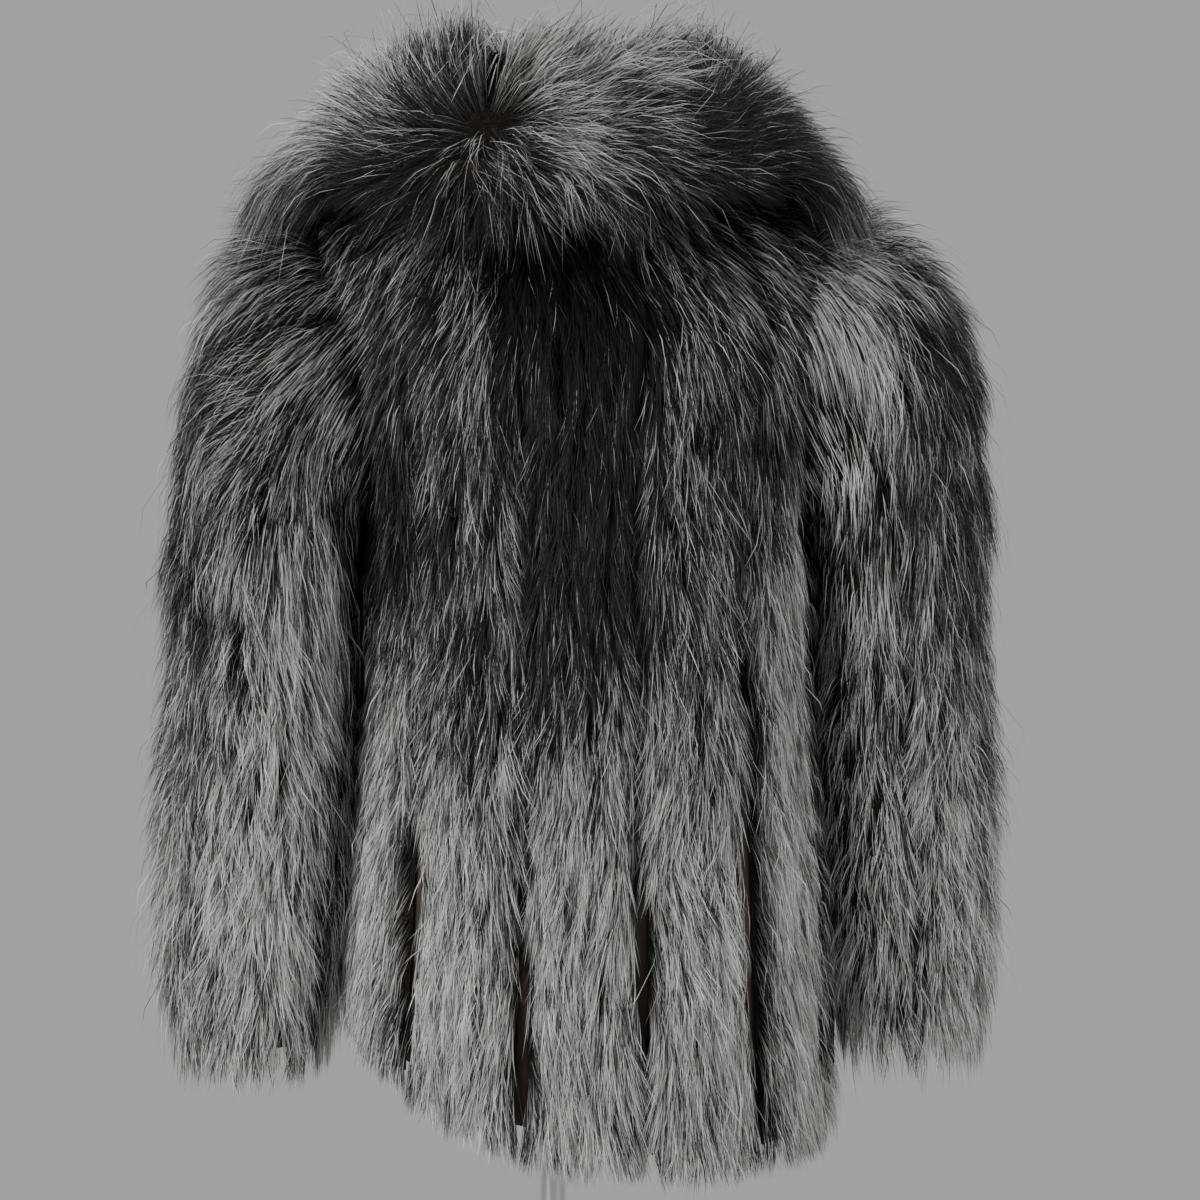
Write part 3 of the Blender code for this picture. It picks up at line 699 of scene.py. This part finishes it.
def blades(paths, normals, width, roll, colours, simple):
    """Thin tapered blades along paths, of four triangles or, where simple, of two."""
    tangent = np.gradient(paths, axis=0)
    tangent /= np.maximum(np.linalg.norm(tangent, axis=-1, keepdims=True), 1e-9)
    side = np.cross(tangent, normals)
    side /= np.maximum(np.linalg.norm(side, axis=-1, keepdims=True), 1e-9)
    up = np.cross(side, tangent)
    across = side * np.cos(roll)[None, :, None] + up * np.sin(roll)[None, :, None]
    half = (width / 2)[:, None]
    full = ~simple
    rich = np.stack(
        [
            paths[0], paths[1] - across[1] * half, paths[1] + across[1] * half,
            paths[2] - across[2] * half * 0.85, paths[2] + across[2] * half * 0.85, paths[3],
        ],
        1,
    )[full]
    middle = 0.4 * paths[1] + 0.6 * paths[2]
    wide = (across[1] + across[2]) / 2 * half * 1.15
    plain = np.stack([paths[0], middle - wide, middle + wide, paths[3]], 1)[simple]
    first = FACES[None] + 6 * np.arange(len(rich))[:, None, None]
    second = np.array([[0, 1, 2], [1, 3, 2]])[None] + 4 * np.arange(len(plain))[:, None, None]
    points = np.concatenate([rich.reshape(-1, 3), plain.reshape(-1, 3)])
    triangles = np.concatenate([first.reshape(-1, 3), second.reshape(-1, 3) + 6 * len(rich)])
    few = np.stack([colours[:, 0], colours[:, 3], colours[:, 4], colours[:, 5]], 1)[simple]
    tints = np.concatenate([colours[full].reshape(-1, 3), few.reshape(-1, 3)])
    return points, triangles, tints


def hair_colours(rng, share, clump_tone):
    """Colours at the six points of each hair: dark root, pale band, dark or pale tip."""
    count = len(share)
    pick = rng.uniform(0, 1, count)
    bias = np.clip(share + 0.34 * clump_tone * np.minimum(share * 4, 1), 0.004, 0.99)
    pale = pick < bias
    white_tip = rng.uniform(0, 1, count) < 0.62
    grey = rng.uniform(0.34, 0.95, count) * (0.62 + 0.50 * share)
    dark = rng.uniform(0.004, 0.028, count)
    root = rng.uniform(0.012, 0.035, count)
    low = np.where(pale, 0.42 * grey, dark * 1.3)
    band = np.where(pale, grey, dark)
    tip = np.where(pale, np.where(white_tip, grey * 1.05, 0.05 + 0.25 * grey), dark * 0.8)
    # undyed fox is a touch warm at the root and neutral in the band
    warm = np.array([1.06, 1.0, 0.95])
    cool = np.array([1.0, 1.0, 0.995])
    colours = np.empty((count, 6, 3))
    colours[:, 0] = root[:, None] * warm
    colours[:, 1] = colours[:, 2] = low[:, None] * (0.5 * warm + 0.5 * cool)
    colours[:, 3] = colours[:, 4] = band[:, None] * cool
    colours[:, 5] = tip[:, None] * cool
    return np.clip(colours, 0.002, 0.9)


TOTAL = {"hairs": 0, "triangles": 0}
THIN = 1.0


def pelt(
    name, surface, v0, v1, low, high, down, density, length, reach, flow, nodes, seed,
    gap=0.003, tuft=0.008, stray=0.025, tone=None, past=0.004, over=0.030, seam_shade=0.75, wide=(0.00034, 0.00074),
    straight=None, droop=0.0, mat_share=0.34, restless=1.0,
):
    """One strip of fur: its underfur and its guard hairs, joined in one mesh."""
    rng = np.random.default_rng(seed)
    # ---- where hairs are rooted, evenly over the strip's real area
    v = np.linspace(v0, v1, 240)
    lo, hi = low(v), high(v)
    mu, mv = surface.metres((lo + hi) / 2, v)
    width = np.abs(hi - lo) * mu
    weight = width * mv * density_along(density, v)
    edge = v1 if down > 0 else v0
    cells = 0.5 * (weight[1:] + weight[:-1]) * abs(v[1] - v[0])
    run = np.concatenate([[0], np.cumsum(cells)])
    count = int(run[-1] * 1e4 * THIN)
    spots = (np.arange(count) + rng.uniform(0, 1, count)) / count
    hv = np.interp(spots, run / run[-1], v)
    s = rng.uniform(-1, 1, count)
    s = s * (1 - 2 * gap / np.maximum(np.interp(hv, v, width), 0.01))
    hu = (low(hv) + high(hv)) / 2 + s * (high(hv) - low(hv)) / 2
    root = surface.at(hu, hv)
    # ---- tufts: each hair leans towards the middle of its own small cell
    mu, mv = surface.metres(hu, hv)
    a, b = hu * np.median(mu), hv * np.median(mv)
    cw, ch = tuft, tuft * 3.4
    jitter = lattice_noise(seed + 1, a / 0.03, b / 0.03)
    ca, cb = np.floor((a + 0.4 * cw * jitter) / cw), np.floor(b / ch + 0.5 * (np.floor(a / cw) % 2))
    key = (ca.astype(np.int64) * 7349 + cb.astype(np.int64) * 9151) % 100003
    own = np.random.default_rng(seed + 2)
    table = own.uniform(-1, 1, (100003, 4))
    mine = table[key]
    centre_a = (ca + 0.5 + 0.3 * mine[:, 0]) * cw
    pull_u = np.clip(centre_a - a, -cw, cw) * 0.80
    # ---- the way each hair lies
    angle = flow(hu, hv, s, root)
    angle = angle + restless * 0.11 * lattice_noise(seed + 3, a / 0.040, b / 0.10)
    angle = angle + restless * (0.06 * mine[:, 1] + rng.normal(0, 0.032, count))
    size = length(hu, hv, s) if callable(length) else np.full(count, length)
    size = size * rng.uniform(0.74, 1.16, count) * (1 + 0.14 * mine[:, 2])
    lift = reach(hu, hv, s) * rng.uniform(0.45, 1.04, count) * (1 + 0.16 * mine[:, 3])
    lift = lift * (1 + 0.20 * lattice_noise(seed + 9, a / 0.045, b / 0.055))
    wild = rng.uniform(0, 1, count) < stray
    lift = np.where(wild, lift * rng.uniform(1.15, 1.55, count), lift)
    size = np.where(wild, size * 1.12, size)
    angle = np.where(wild, angle + rng.normal(0, 0.15, count), angle)
    curl = restless * (rng.normal(0, 0.07, count) + 0.13 * mine[:, 0])
    # no hair hangs further than its own small share past the piece's edge
    room = np.abs(edge - hv) * mv / np.maximum(np.cos(np.clip(angle, -1.2, 1.2)), 0.35)
    most = room + over * rng.uniform(0.72, 1.12, count) * (1 + 0.10 * mine[:, 2])
    size = np.where(np.abs(angle) < 1.5, np.minimum(size, most), size)
    free = straight(hu, hv) if straight else np.zeros(count)
    paths, normals = hair_paths(
        surface, hu, hv, down, angle, size, lift, curl, pull_u, free, edge, droop
    )
    thick = rng.uniform(*wide, count)
    roll = rng.normal(0, 0.50, count)
    # painted shade: hair near each strip's seams gets less silver, drawn darker where shade falls between the
    # crowned strips
    share = (tone or silver)(root) * (1 - seam_shade * np.abs(s) ** 5)
    clump = 0.6 * mine[:, 1] + 0.6 * lattice_noise(seed + 5, a / 0.012, b / 0.050)
    simple = (rng.uniform(0, 1, count) < 0.75) & ~wild
    points, triangles, colours = blades(
        paths, normals, thick, roll, hair_colours(rng, share, clump), simple
    )
    # ---- the underfur: a low crowned mat on the leather
    rows, cols = 60, 9
    far = down * past / float(np.median(mv))
    mv_rows = np.linspace(v0, v1, rows)
    end = int(np.argmax(down * mv_rows))
    t = np.linspace(-1, 1, cols)
    grid_u, grid_v = [], []
    for k, w in enumerate(mv_rows):
        l, h = low(w), high(w)
        wd = abs(h - l) * float(surface.metres(np.array([(l + h) / 2]), np.array([w]))[0][0])
        inset = 1 - 2 * gap / max(wd, 0.01)
        grid_u.append((l + h) / 2 + t * inset * (h - l) / 2)
        grid_v.append(np.full(cols, w + (far if k == end else 0)))
    grid_u, grid_v = np.array(grid_u), np.array(grid_v)
    tt = np.repeat(t[None], rows, 0)
    height = mat_share * reach(grid_u.ravel(), grid_v.ravel(), tt.ravel()).reshape(rows, cols)
    near = np.abs(grid_v - edge) * float(np.median(mv))
    height = height * np.sqrt(np.clip(1 - tt**2, 0, 1)) * (0.25 + 0.75 * ease(near, 0, 0.03)) + 0.0008
    height = height * (1 + 0.25 * lattice_noise(seed + 7, grid_u * 60, grid_v * 40))
    mat = surface.at(grid_u, grid_v) + surface.normal(grid_u, grid_v) * height[..., None]
    mat_points = kept_in(mat).reshape(-1, 3)
    mat_faces = grid_triangles(rows, cols)
    every = np.concatenate([mat_points, points])
    faces = np.concatenate([mat_faces, triangles + len(mat_points)])
    index = np.concatenate([np.zeros(len(mat_faces), int), np.ones(len(triangles), int)])
    tints = np.concatenate([np.full((len(mat_points), 3), 0.02), colours])
    piece = mesh_object(name, every, faces, [UNDER, HAIR], index, tints)
    if nodes:
        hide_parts(*nodes)
    TOTAL["hairs"] += count
    TOTAL["triangles"] += len(faces)
    if len(faces) >= 200000:
        raise RuntimeError(f"{name} has {len(faces)} triangles")
    return piece


def density_along(density, v):
    return density(v) if callable(density) else np.full(len(v), float(density))


def constant(value):
    return lambda v: np.full_like(np.asarray(v, float), value) if np.ndim(v) else value


# ---- the body's strips


def body_reach(u, v, s):
    strip = np.abs(u) / STRIP
    reach = 0.013 + 0.017 * (1 - ease(strip, 1.5, 2.3)) + 0.014 * ease(strip, 3.7, 4.6)
    # under the arms, between body and sleeves, the pile stands into the space
    reach = reach + 0.010 * ease(strip, 1.9, 2.5) * (1 - ease(strip, 3.4, 4.2)) * (1 - ease(v, 0.97, 1.03))
    crown = 0.30 + 0.70 * (1 - np.abs(s) ** 2.6)
    by_arm = np.where(
        strip < 2.6, ease(np.abs(u) / back_edge(v), 0.78, 0.95), 1 - ease(np.abs(u) / front_edge(v), 1.05, 1.20)
    )
    reach = reach * np.maximum(crown, 1.05 * by_arm * ease(v, 1.00, 1.06))
    reach = reach * (0.72 + 0.28 * ease(v, 0.52, 0.60))
    # towards the shoulder's end the pile stands up under the collar
    reach = reach + 0.009 * ease(strip, 1.1, 2.1) * (strip < 2.6) * ease(v, 1.15, 1.22)
    return reach * (1 - 0.20 * (1 - ease(strip, 1.1, 2.0)) * ease(v, 1.15, 1.24))


# Places where a seam between two back strips shows bare leather: the seam's
# number from the wearer's right, the heights between, and how wide it opens
PARTED = (
    (1, 0.570, 0.800, 0.26),
    (2, 0.660, 0.760, 0.20),
    (3, 0.575, 0.720, 0.16),
    (4, 0.625, 0.790, 0.34),
)


def body_flow(first_seam, second_seam):
    """Hairs run down and fan over the seams, apart from where the seams show."""

    def flow(u, v, s, root):
        z = root[:, 2]
        fan = np.full(len(u), 0.05)
        for seam, bottom, top, wide in PARTED:
            here = ease(z, bottom - 0.05, bottom + 0.03) * (1 - ease(z, top - 0.03, top + 0.05))
            if seam == first_seam:
                fan = np.where(s < 0, fan - (0.10 + wide) * here, fan)
            if seam == second_seam:
                fan = np.where(s > 0, fan - (0.10 + wide) * here, fan)
        angle = fan * s
        out = ease(v, 1.06, 1.22) * np.clip(u / 0.16, -1.3, 1.3) * 0.60
        over_seam = np.sign(u) * 0.55 * ease(np.abs(u) / back_edge(v), 0.72, 1.0) * ease(v, 1.00, 1.06)
        back = np.abs(u) < 2.6 * STRIP
        front_seam = -np.sign(u) * 0.55 * (1 - ease(np.abs(u) / front_edge(v), 1.0, 1.25)) * ease(v, 1.00, 1.06)
        out = np.where(back, out, -np.sign(u) * ease(v, 1.06, 1.22) * 0.35)
        return angle + out + np.where(back, over_seam, front_seam)

    return flow


def body_length(u, v, s):
    return 0.058 - 0.010 * ease(np.abs(u) / STRIP, 1.8, 2.4) * (1 - ease(np.abs(u) / STRIP, 3.4, 4.0))


def body_straight(u, v):
    near = ease(np.abs(u) / back_edge(v), 0.70, 0.92) * (np.abs(u) < 2.6 * STRIP)
    front = (1 - ease(np.abs(u) / front_edge(v), 1.03, 1.22)) * (np.abs(u) > 2.6 * STRIP)
    return (near + front) * ease(v, 0.99, 1.05)


BODY_TOP = 1.250
for NUMBER in range(1, 6):
    MIDDLE = (NUMBER - 3) * STRIP
    if NUMBER == 1:
        LOW, HIGH = (lambda v: -back_edge(v)), constant(-1.5 * STRIP)
    elif NUMBER == 5:
        LOW, HIGH = constant(1.5 * STRIP), (lambda v: back_edge(v))
    else:
        LOW, HIGH = constant(MIDDLE - 0.5 * STRIP), constant(MIDDLE + 0.5 * STRIP)
    pelt(
        f"pelt_back_{NUMBER}", BODY_SURF, 0.520, BODY_TOP, LOW, HIGH, -1, 36.0,
        body_length, body_reach, body_flow(NUMBER - 1, NUMBER), [f"fur_back_{NUMBER}"], 100 + 10 * NUMBER,
        gap=0.0040, straight=body_straight, over=0.024 if NUMBER == 5 else 0.030,
    )

for SIDE, WORD in ((1, "left"), (-1, "right")):
    def pair(low, high, side=SIDE):
        if side > 0:
            return low, high
        return (lambda v: -high(v)), (lambda v: -low(v))

    LOW, HIGH = pair(constant(2.5 * STRIP), constant(3.5 * STRIP))
    pelt(
        f"pelt_side_{WORD}", BODY_SURF, 0.520, 1.010, LOW, HIGH, -1, 12.0,
        body_length, body_reach, body_flow(None, None), [f"fur_side_{WORD}"], 210 + SIDE,
        mat_share=0.75, over=0.014 if SIDE > 0 else 0.030,
    )
    LOW, HIGH = pair(lambda v: front_edge(v), constant(4.5 * STRIP))
    pelt(
        f"pelt_front_{WORD}_1", BODY_SURF, 0.520, 1.262, LOW, HIGH, -1, 12.0,
        body_length, body_reach, body_flow(None, None), [f"fur_front_{WORD}_1"], 230 + SIDE,
        straight=body_straight,
    )
    LOW, HIGH = pair(constant(4.5 * STRIP), constant(6 * STRIP - 0.002))
    pelt(
        f"pelt_front_{WORD}_2", BODY_SURF, 0.520, 1.274, LOW, HIGH, -1, 12.0,
        body_length, body_reach, body_flow(None, None), [f"fur_front_{WORD}_2"], 250 + SIDE,
    )

# ---- the sleeves' strips


def sleeve_facing(side, u):
    """Angle round the sleeve as it hangs: 0 outside, a quarter turn the back."""
    return u + TWIST[side]


def sleeve_reach(side):
    def reach(u, v, s):
        facing = sleeve_facing(side, u)
        base = 0.013 + 0.020 * (0.5 + 0.5 * np.cos(facing)) ** 0.55
        crown = 0.42 + 0.58 * (1 - np.abs(s) ** 2.6)
        base = base * np.maximum(crown, 1 - ease(v, 3.0, 4.5))
        base = base * (1 - 0.60 * ease(v, 8.6, 10.0))
        # the back of the shoulder stands up to meet the back's own pile
        base = base + 0.014 * np.exp(-(((facing - 1.85) / 0.8) ** 2)) * (1 - ease(v, 3.0, 7.0))
        # and its top fills the step up to the collar
        base = base + 0.015 * np.exp(-((np.sin(facing / 2) / 0.5) ** 2)) * (1 - ease(v, 0.8, 3.0))
        if side > 0:
            base = base - 0.012 * np.exp(-((np.sin(facing / 2) / 0.45) ** 2) - ((v - 2.0) / 1.2) ** 2)
        inner = np.clip(0.5 - 0.5 * np.cos(facing - 0.45), 0, 1) ** 3
        base = base + 0.010 * inner * ease(v, 4.0, 5.5) * (1 - ease(v, 9.0, 10.0))
        return base * (1 - 0.70 * inner * (1 - ease(v, 3.0, 4.6)))

    return reach


def sleeve_length(side):
    def length(u, v, s):
        facing = sleeve_facing(side, u)
        inner = np.clip(0.5 - 0.5 * np.cos(facing - 0.45), 0, 1) ** 3 * (1 - ease(v, 3.0, 4.6))
        return 0.056 * (1 - 0.60 * inner)

    return length


def sleeve_flow(side):
    """Down the arm, with a whirl outwards on the wearer's left upper arm."""

    def flow(u, v, s, root):
        facing = sleeve_facing(side, u)
        # by the armhole the hair lies down along the seam, and covers it
        angle = 0.10 * s + 1.10 * np.sin(facing) * (1 - ease(v, 0.2, 2.4))
        if side > 0:
            whirl = np.exp(-(((facing - 1.1) / 0.55) ** 2 + ((v - 2.7) / 1.3) ** 2))
            angle = angle - 0.55 * whirl
        else:
            sweep = np.exp(-(((facing - 1.2) / 0.8) ** 2 + ((v - 1.6) / 1.5) ** 2))
            angle = angle + 0.30 * sweep
        return angle

    return flow


def sleeve_straight(u, v):
    return 1 - ease(v, 0.6, 2.2)


for SIDE, WORD in ((1, "left"), (-1, "right")):
    for NUMBER in range(1, 5):
        START = SEAM_TURN[SIDE] + (NUMBER - 1) * math.pi / 2
        FACING = math.degrees(START + math.pi / 4 + TWIST[SIDE]) % 360
        LOW, HIGH = constant(START), constant(START + math.pi / 2)
        if START > 1.75 * math.pi:
            LOW, HIGH = constant(START - 2 * math.pi), constant(START - 1.5 * math.pi)
        UNDER_ARM = 130 < FACING < 230
        SHOWN = 40 < FACING < 140 or FACING < 45 or FACING > 315
        if UNDER_ARM:
            DENSE = lambda v: 10.0 + 5.0 * ease(v, 3.0, 5.0)
        else:
            DENSE = 27.0 if SHOWN else 18.0
        pelt(
            f"pelt_sleeve_{WORD}_{NUMBER}", SLEEVES[SIDE], 0.05, float(CUFF),
            LOW, HIGH, 1, DENSE, sleeve_length(SIDE), sleeve_reach(SIDE), sleeve_flow(SIDE),
            [f"fur_sleeve_{WORD}_{NUMBER}"], 300 + 40 * SIDE + NUMBER * 7,
            over=0.040 if SIDE > 0 else 0.062, straight=sleeve_straight, mat_share=0.55 if UNDER_ARM else 0.34,
        )

# ---- the collar

WHIRL_ANGLE, WHIRL_ROW = 0.27, 5.9  # the crown from which the collar's hair radiates


def collar_reach(u, v, s):
    reach = curve(np.arange(len(COLLAR)), COLLAR[:, 4], v)
    reach = reach * (1 - 0.42 * ease(np.abs(u), 0.75, 1.35) * (1 - ease(v, 5.5, 7.0)))
    right = 0.45 * ease(-u, 0.9, 1.4) * (1 - ease(-u, 2.0, 2.5))
    return reach * (1 - 0.35 * ease(np.abs(u), 2.3, 2.75)) * (1 - right)


def collar_length(u, v, s):
    right = 0.40 * ease(-u, 0.9, 1.4) * (1 - ease(-u, 2.0, 2.5)) * (1 - ease(v, 5.2, 6.2))
    return np.where(v < FOLD, 0.042, 0.058) * (1 - 0.2 * ease(np.abs(u), 2.3, 2.75)) * (1 - right)


def collar_flow(u, v, s, root):
    """Away from the crown, on the collar's fall."""
    mu = 0.155
    du, dv = (u - WHIRL_ANGLE) * mu, (v - WHIRL_ROW) * 0.031
    du = du + 0.012 * lattice_noise(881, u / 0.16, v / 0.9)
    dv = dv + 0.012 * lattice_noise(882, u / 0.16, v / 0.9)
    away = np.arctan2(du, dv + 0.010)
    away = away + 0.45 * np.sin(np.hypot(du, dv) / 0.030)
    away = away + 0.38 * lattice_noise(883, u / 0.11, v / 0.6)
    away = np.clip(away, -2.6, 2.6)
    sides = np.sign(u) * 0.45 * ease(np.abs(u), 0.9, 1.6)
    blend = ease(np.abs(u), 1.0, 2.0)
    lie = away * (1 - blend) + sides * blend
    # at the lower edge, over the shoulders, it hangs down
    return lie * (1 - 0.75 * ease(v, 4.6, 6.2) * ease(np.abs(u), 0.45, 0.95))


def collar_tone(root):
    x, y, z = root[:, 0] - lean(1.26), root[:, 1], root[:, 2]
    share = 0.48 + 0.32 * ease(z, 1.30, 1.36)
    share = share - 0.36 * (1 - ease(z, 1.246, 1.286))
    for cx, cz, rx, rz, more in (
        (0.062, 1.300, 0.022, 0.020, -0.45),
        (-0.120, 1.284, 0.070, 0.030, -0.50),
        (0.020, 1.300, 0.040, 0.030, 0.10),
        (0.150, 1.262, 0.060, 0.014, -0.20),
        (0.180, 1.315, 0.055, 0.030, 0.26),
        (0.110, 1.335, 0.045, 0.025, 0.15),
    ):
        share = share + more * np.exp(-(((x - cx) / rx) ** 2 + ((z - cz) / rz) ** 2))
    return np.clip(share, 0.04, 0.9)


pelt(
    "pelt_collar_fall", COLLAR_SURF, FOLD, len(COLLAR) - 1.0, constant(-COLLAR_END), constant(COLLAR_END), 1,
    38.0, collar_length, collar_reach, collar_flow, ["fur_collar_outer"], 500,
    tuft=0.009, stray=0.07, wide=(0.00028, 0.00058), restless=1.9, tone=collar_tone, past=0.006, over=0.056, seam_shade=0.0, droop=13.0,
)
pelt(
    "pelt_collar_stand", COLLAR_SURF, 0.30, FOLD - 0.02, constant(-COLLAR_END), constant(COLLAR_END), -1,
    12.0, collar_length, collar_reach, lambda u, v, s, root: np.full(len(u), math.pi), ["fur_collar_inner"], 540,
    tuft=0.009, stray=0.08, tone=collar_tone, past=0.0, seam_shade=0.0,
)
print("fur:", TOTAL)

# ------------------------------------------------------------- form and stand


def turned(name, profile, sides, look):
    angles = np.arange(sides) * 2 * math.pi / sides
    points = np.array([[(r * math.cos(t), r * math.sin(t), z) for t in angles] for r, z in profile])
    faces = grid_triangles(len(profile), sides, True)
    fan = np.stack([np.zeros(sides - 2, int), np.arange(1, sides - 1), np.arange(2, sides)], -1)
    last = (len(profile) - 1) * sides
    faces = np.concatenate([faces, fan[:, ::-1], fan + last])
    flat = points.reshape(-1, 3)
    if np.linalg.det(flat[faces] - flat.mean(0)).sum() < 0:
        faces = faces[:, ::-1]
    piece = mesh_object(name, flat, faces, [look])
    piece.data.set_sharp_from_angle(angle=math.radians(40))
    return piece


HEIGHTS = np.concatenate([np.linspace(0.7405, 1.20, 30), np.linspace(1.205, 1.312, 40)])
TURN = np.linspace(0, 2 * math.pi, 72, endpoint=False)
LOFT = []
for Z in HEIGHTS:
    X, Y = oval(TURN, *(float(curve(FORM[:, 0], FORM[:, i], Z)) for i in (1, 2, 3)))
    LOFT.append(np.stack([X, Y, np.full_like(X, Z)], -1))
for SHRINK, UP in ((0.97, 0.0022), (0.90, 0.0036), (0.6, 0.0040), (0.02, 0.0040)):
    LOFT.append(np.concatenate([LOFT[len(HEIGHTS) - 1][:, :2] * SHRINK, np.full((72, 1), HEIGHTS[-1] + UP)], 1))
BOTTOM = [np.concatenate([LOFT[0][:, :2] * k, np.full((72, 1), 0.7400)], 1) for k in (0.02, 0.7, 0.985)]
LOFT = np.array(BOTTOM + LOFT)
TRIANGLES = grid_triangles(len(LOFT), 72, True)
FLAT = LOFT.reshape(-1, 3)
if np.linalg.det(FLAT[TRIANGLES] - FLAT.mean(0)).sum() < 0:
    TRIANGLES = TRIANGLES[:, ::-1]
FORM_PIECE = mesh_object("form_body", FLAT, TRIANGLES, [COVER])
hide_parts("dress_form")

POLE = turned(
    "pole_tube",
    [(POLE_RADIUS - 0.0005, BASE_HEIGHT + 0.0003), (POLE_RADIUS, BASE_HEIGHT + 0.0008), (POLE_RADIUS, 0.7392), (POLE_RADIUS - 0.0005, 0.7397)],
    72, CHROME,
)
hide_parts("stand_pole")
ROUND = [
    (BASE_RADIUS - 0.003 * (1 - math.cos(t)), BASE_HEIGHT - 0.003 * (1 - math.sin(t)))
    for t in np.linspace(0, math.pi / 2, 7)
]
BASE = turned("base_plate", [(BASE_RADIUS - 0.0004, 0.0), (BASE_RADIUS, 0.0004), *ROUND], 144, CHROME)
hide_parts("stand_base")

# --------------------------------------------------------- camera, light, floor

CAMERA_DATA = bpy.data.cameras.new("camera")
CAMERA_DATA.lens, CAMERA_DATA.sensor_width = 63.2, 36.0
CAMERA = bpy.data.objects.new("camera", CAMERA_DATA)
CAMERA.location = (-0.039, 1.760, 0.938)
CAMERA.rotation_euler = (math.radians(90), 0, math.radians(180))
bpy.context.scene.collection.objects.link(CAMERA)
bpy.context.scene.camera = CAMERA


def area_light(name, place, aim, size, power, colour=(1, 1, 1)):
    data = bpy.data.lights.new(name, "AREA")
    data.shape, data.size, data.energy, data.color = "DISK", size, power, colour
    made = bpy.data.objects.new(name, data)
    bpy.context.scene.collection.objects.link(made)
    made.location = place
    direction = np.array(aim, float) - np.array(place, float)
    flat = math.hypot(direction[0], direction[1])
    made.rotation_euler = (
        math.atan2(flat, -direction[2]), 0, math.atan2(direction[1], direction[0]) - math.pi / 2,
    )
    return made


area_light("key", (1.9, 2.1, 1.75), (0, 0, 0.9), 1.4, 54)
area_light("fill", (-2.2, 1.6, 1.4), (0, 0, 0.9), 1.8, 14)
area_light("front", (-0.6, -2.4, 2.2), (0, 0, 0.9), 1.8, 40)

WORLD = bpy.data.worlds.new("world")
bpy.context.scene.world = WORLD
WORLD.use_nodes = True
WORLD.node_tree.nodes["Background"].inputs["Color"].default_value = (0.80, 0.80, 0.795, 1)
WORLD.node_tree.nodes["Background"].inputs["Strength"].default_value = 0.52

FLOOR_MESH = bpy.data.meshes.new("floor")
FLOOR_MESH.from_pydata([(-1.4, -1.4, 0), (1.4, -1.4, 0), (1.4, 1.4, 0), (-1.4, 1.4, 0)], [], [(0, 1, 2, 3)])
FLOOR = bpy.data.objects.new("floor", FLOOR_MESH)
bpy.context.scene.collection.objects.link(FLOOR)
FLOOR_LOOK, FLOOR_TREE, FLOOR_SHADER = new_material("floor_paint", 0.8)
FLOOR_SHADER.inputs["Base Color"].default_value = (0.62, 0.62, 0.61, 1)
FLOOR_MESH.materials.append(FLOOR_LOOK)
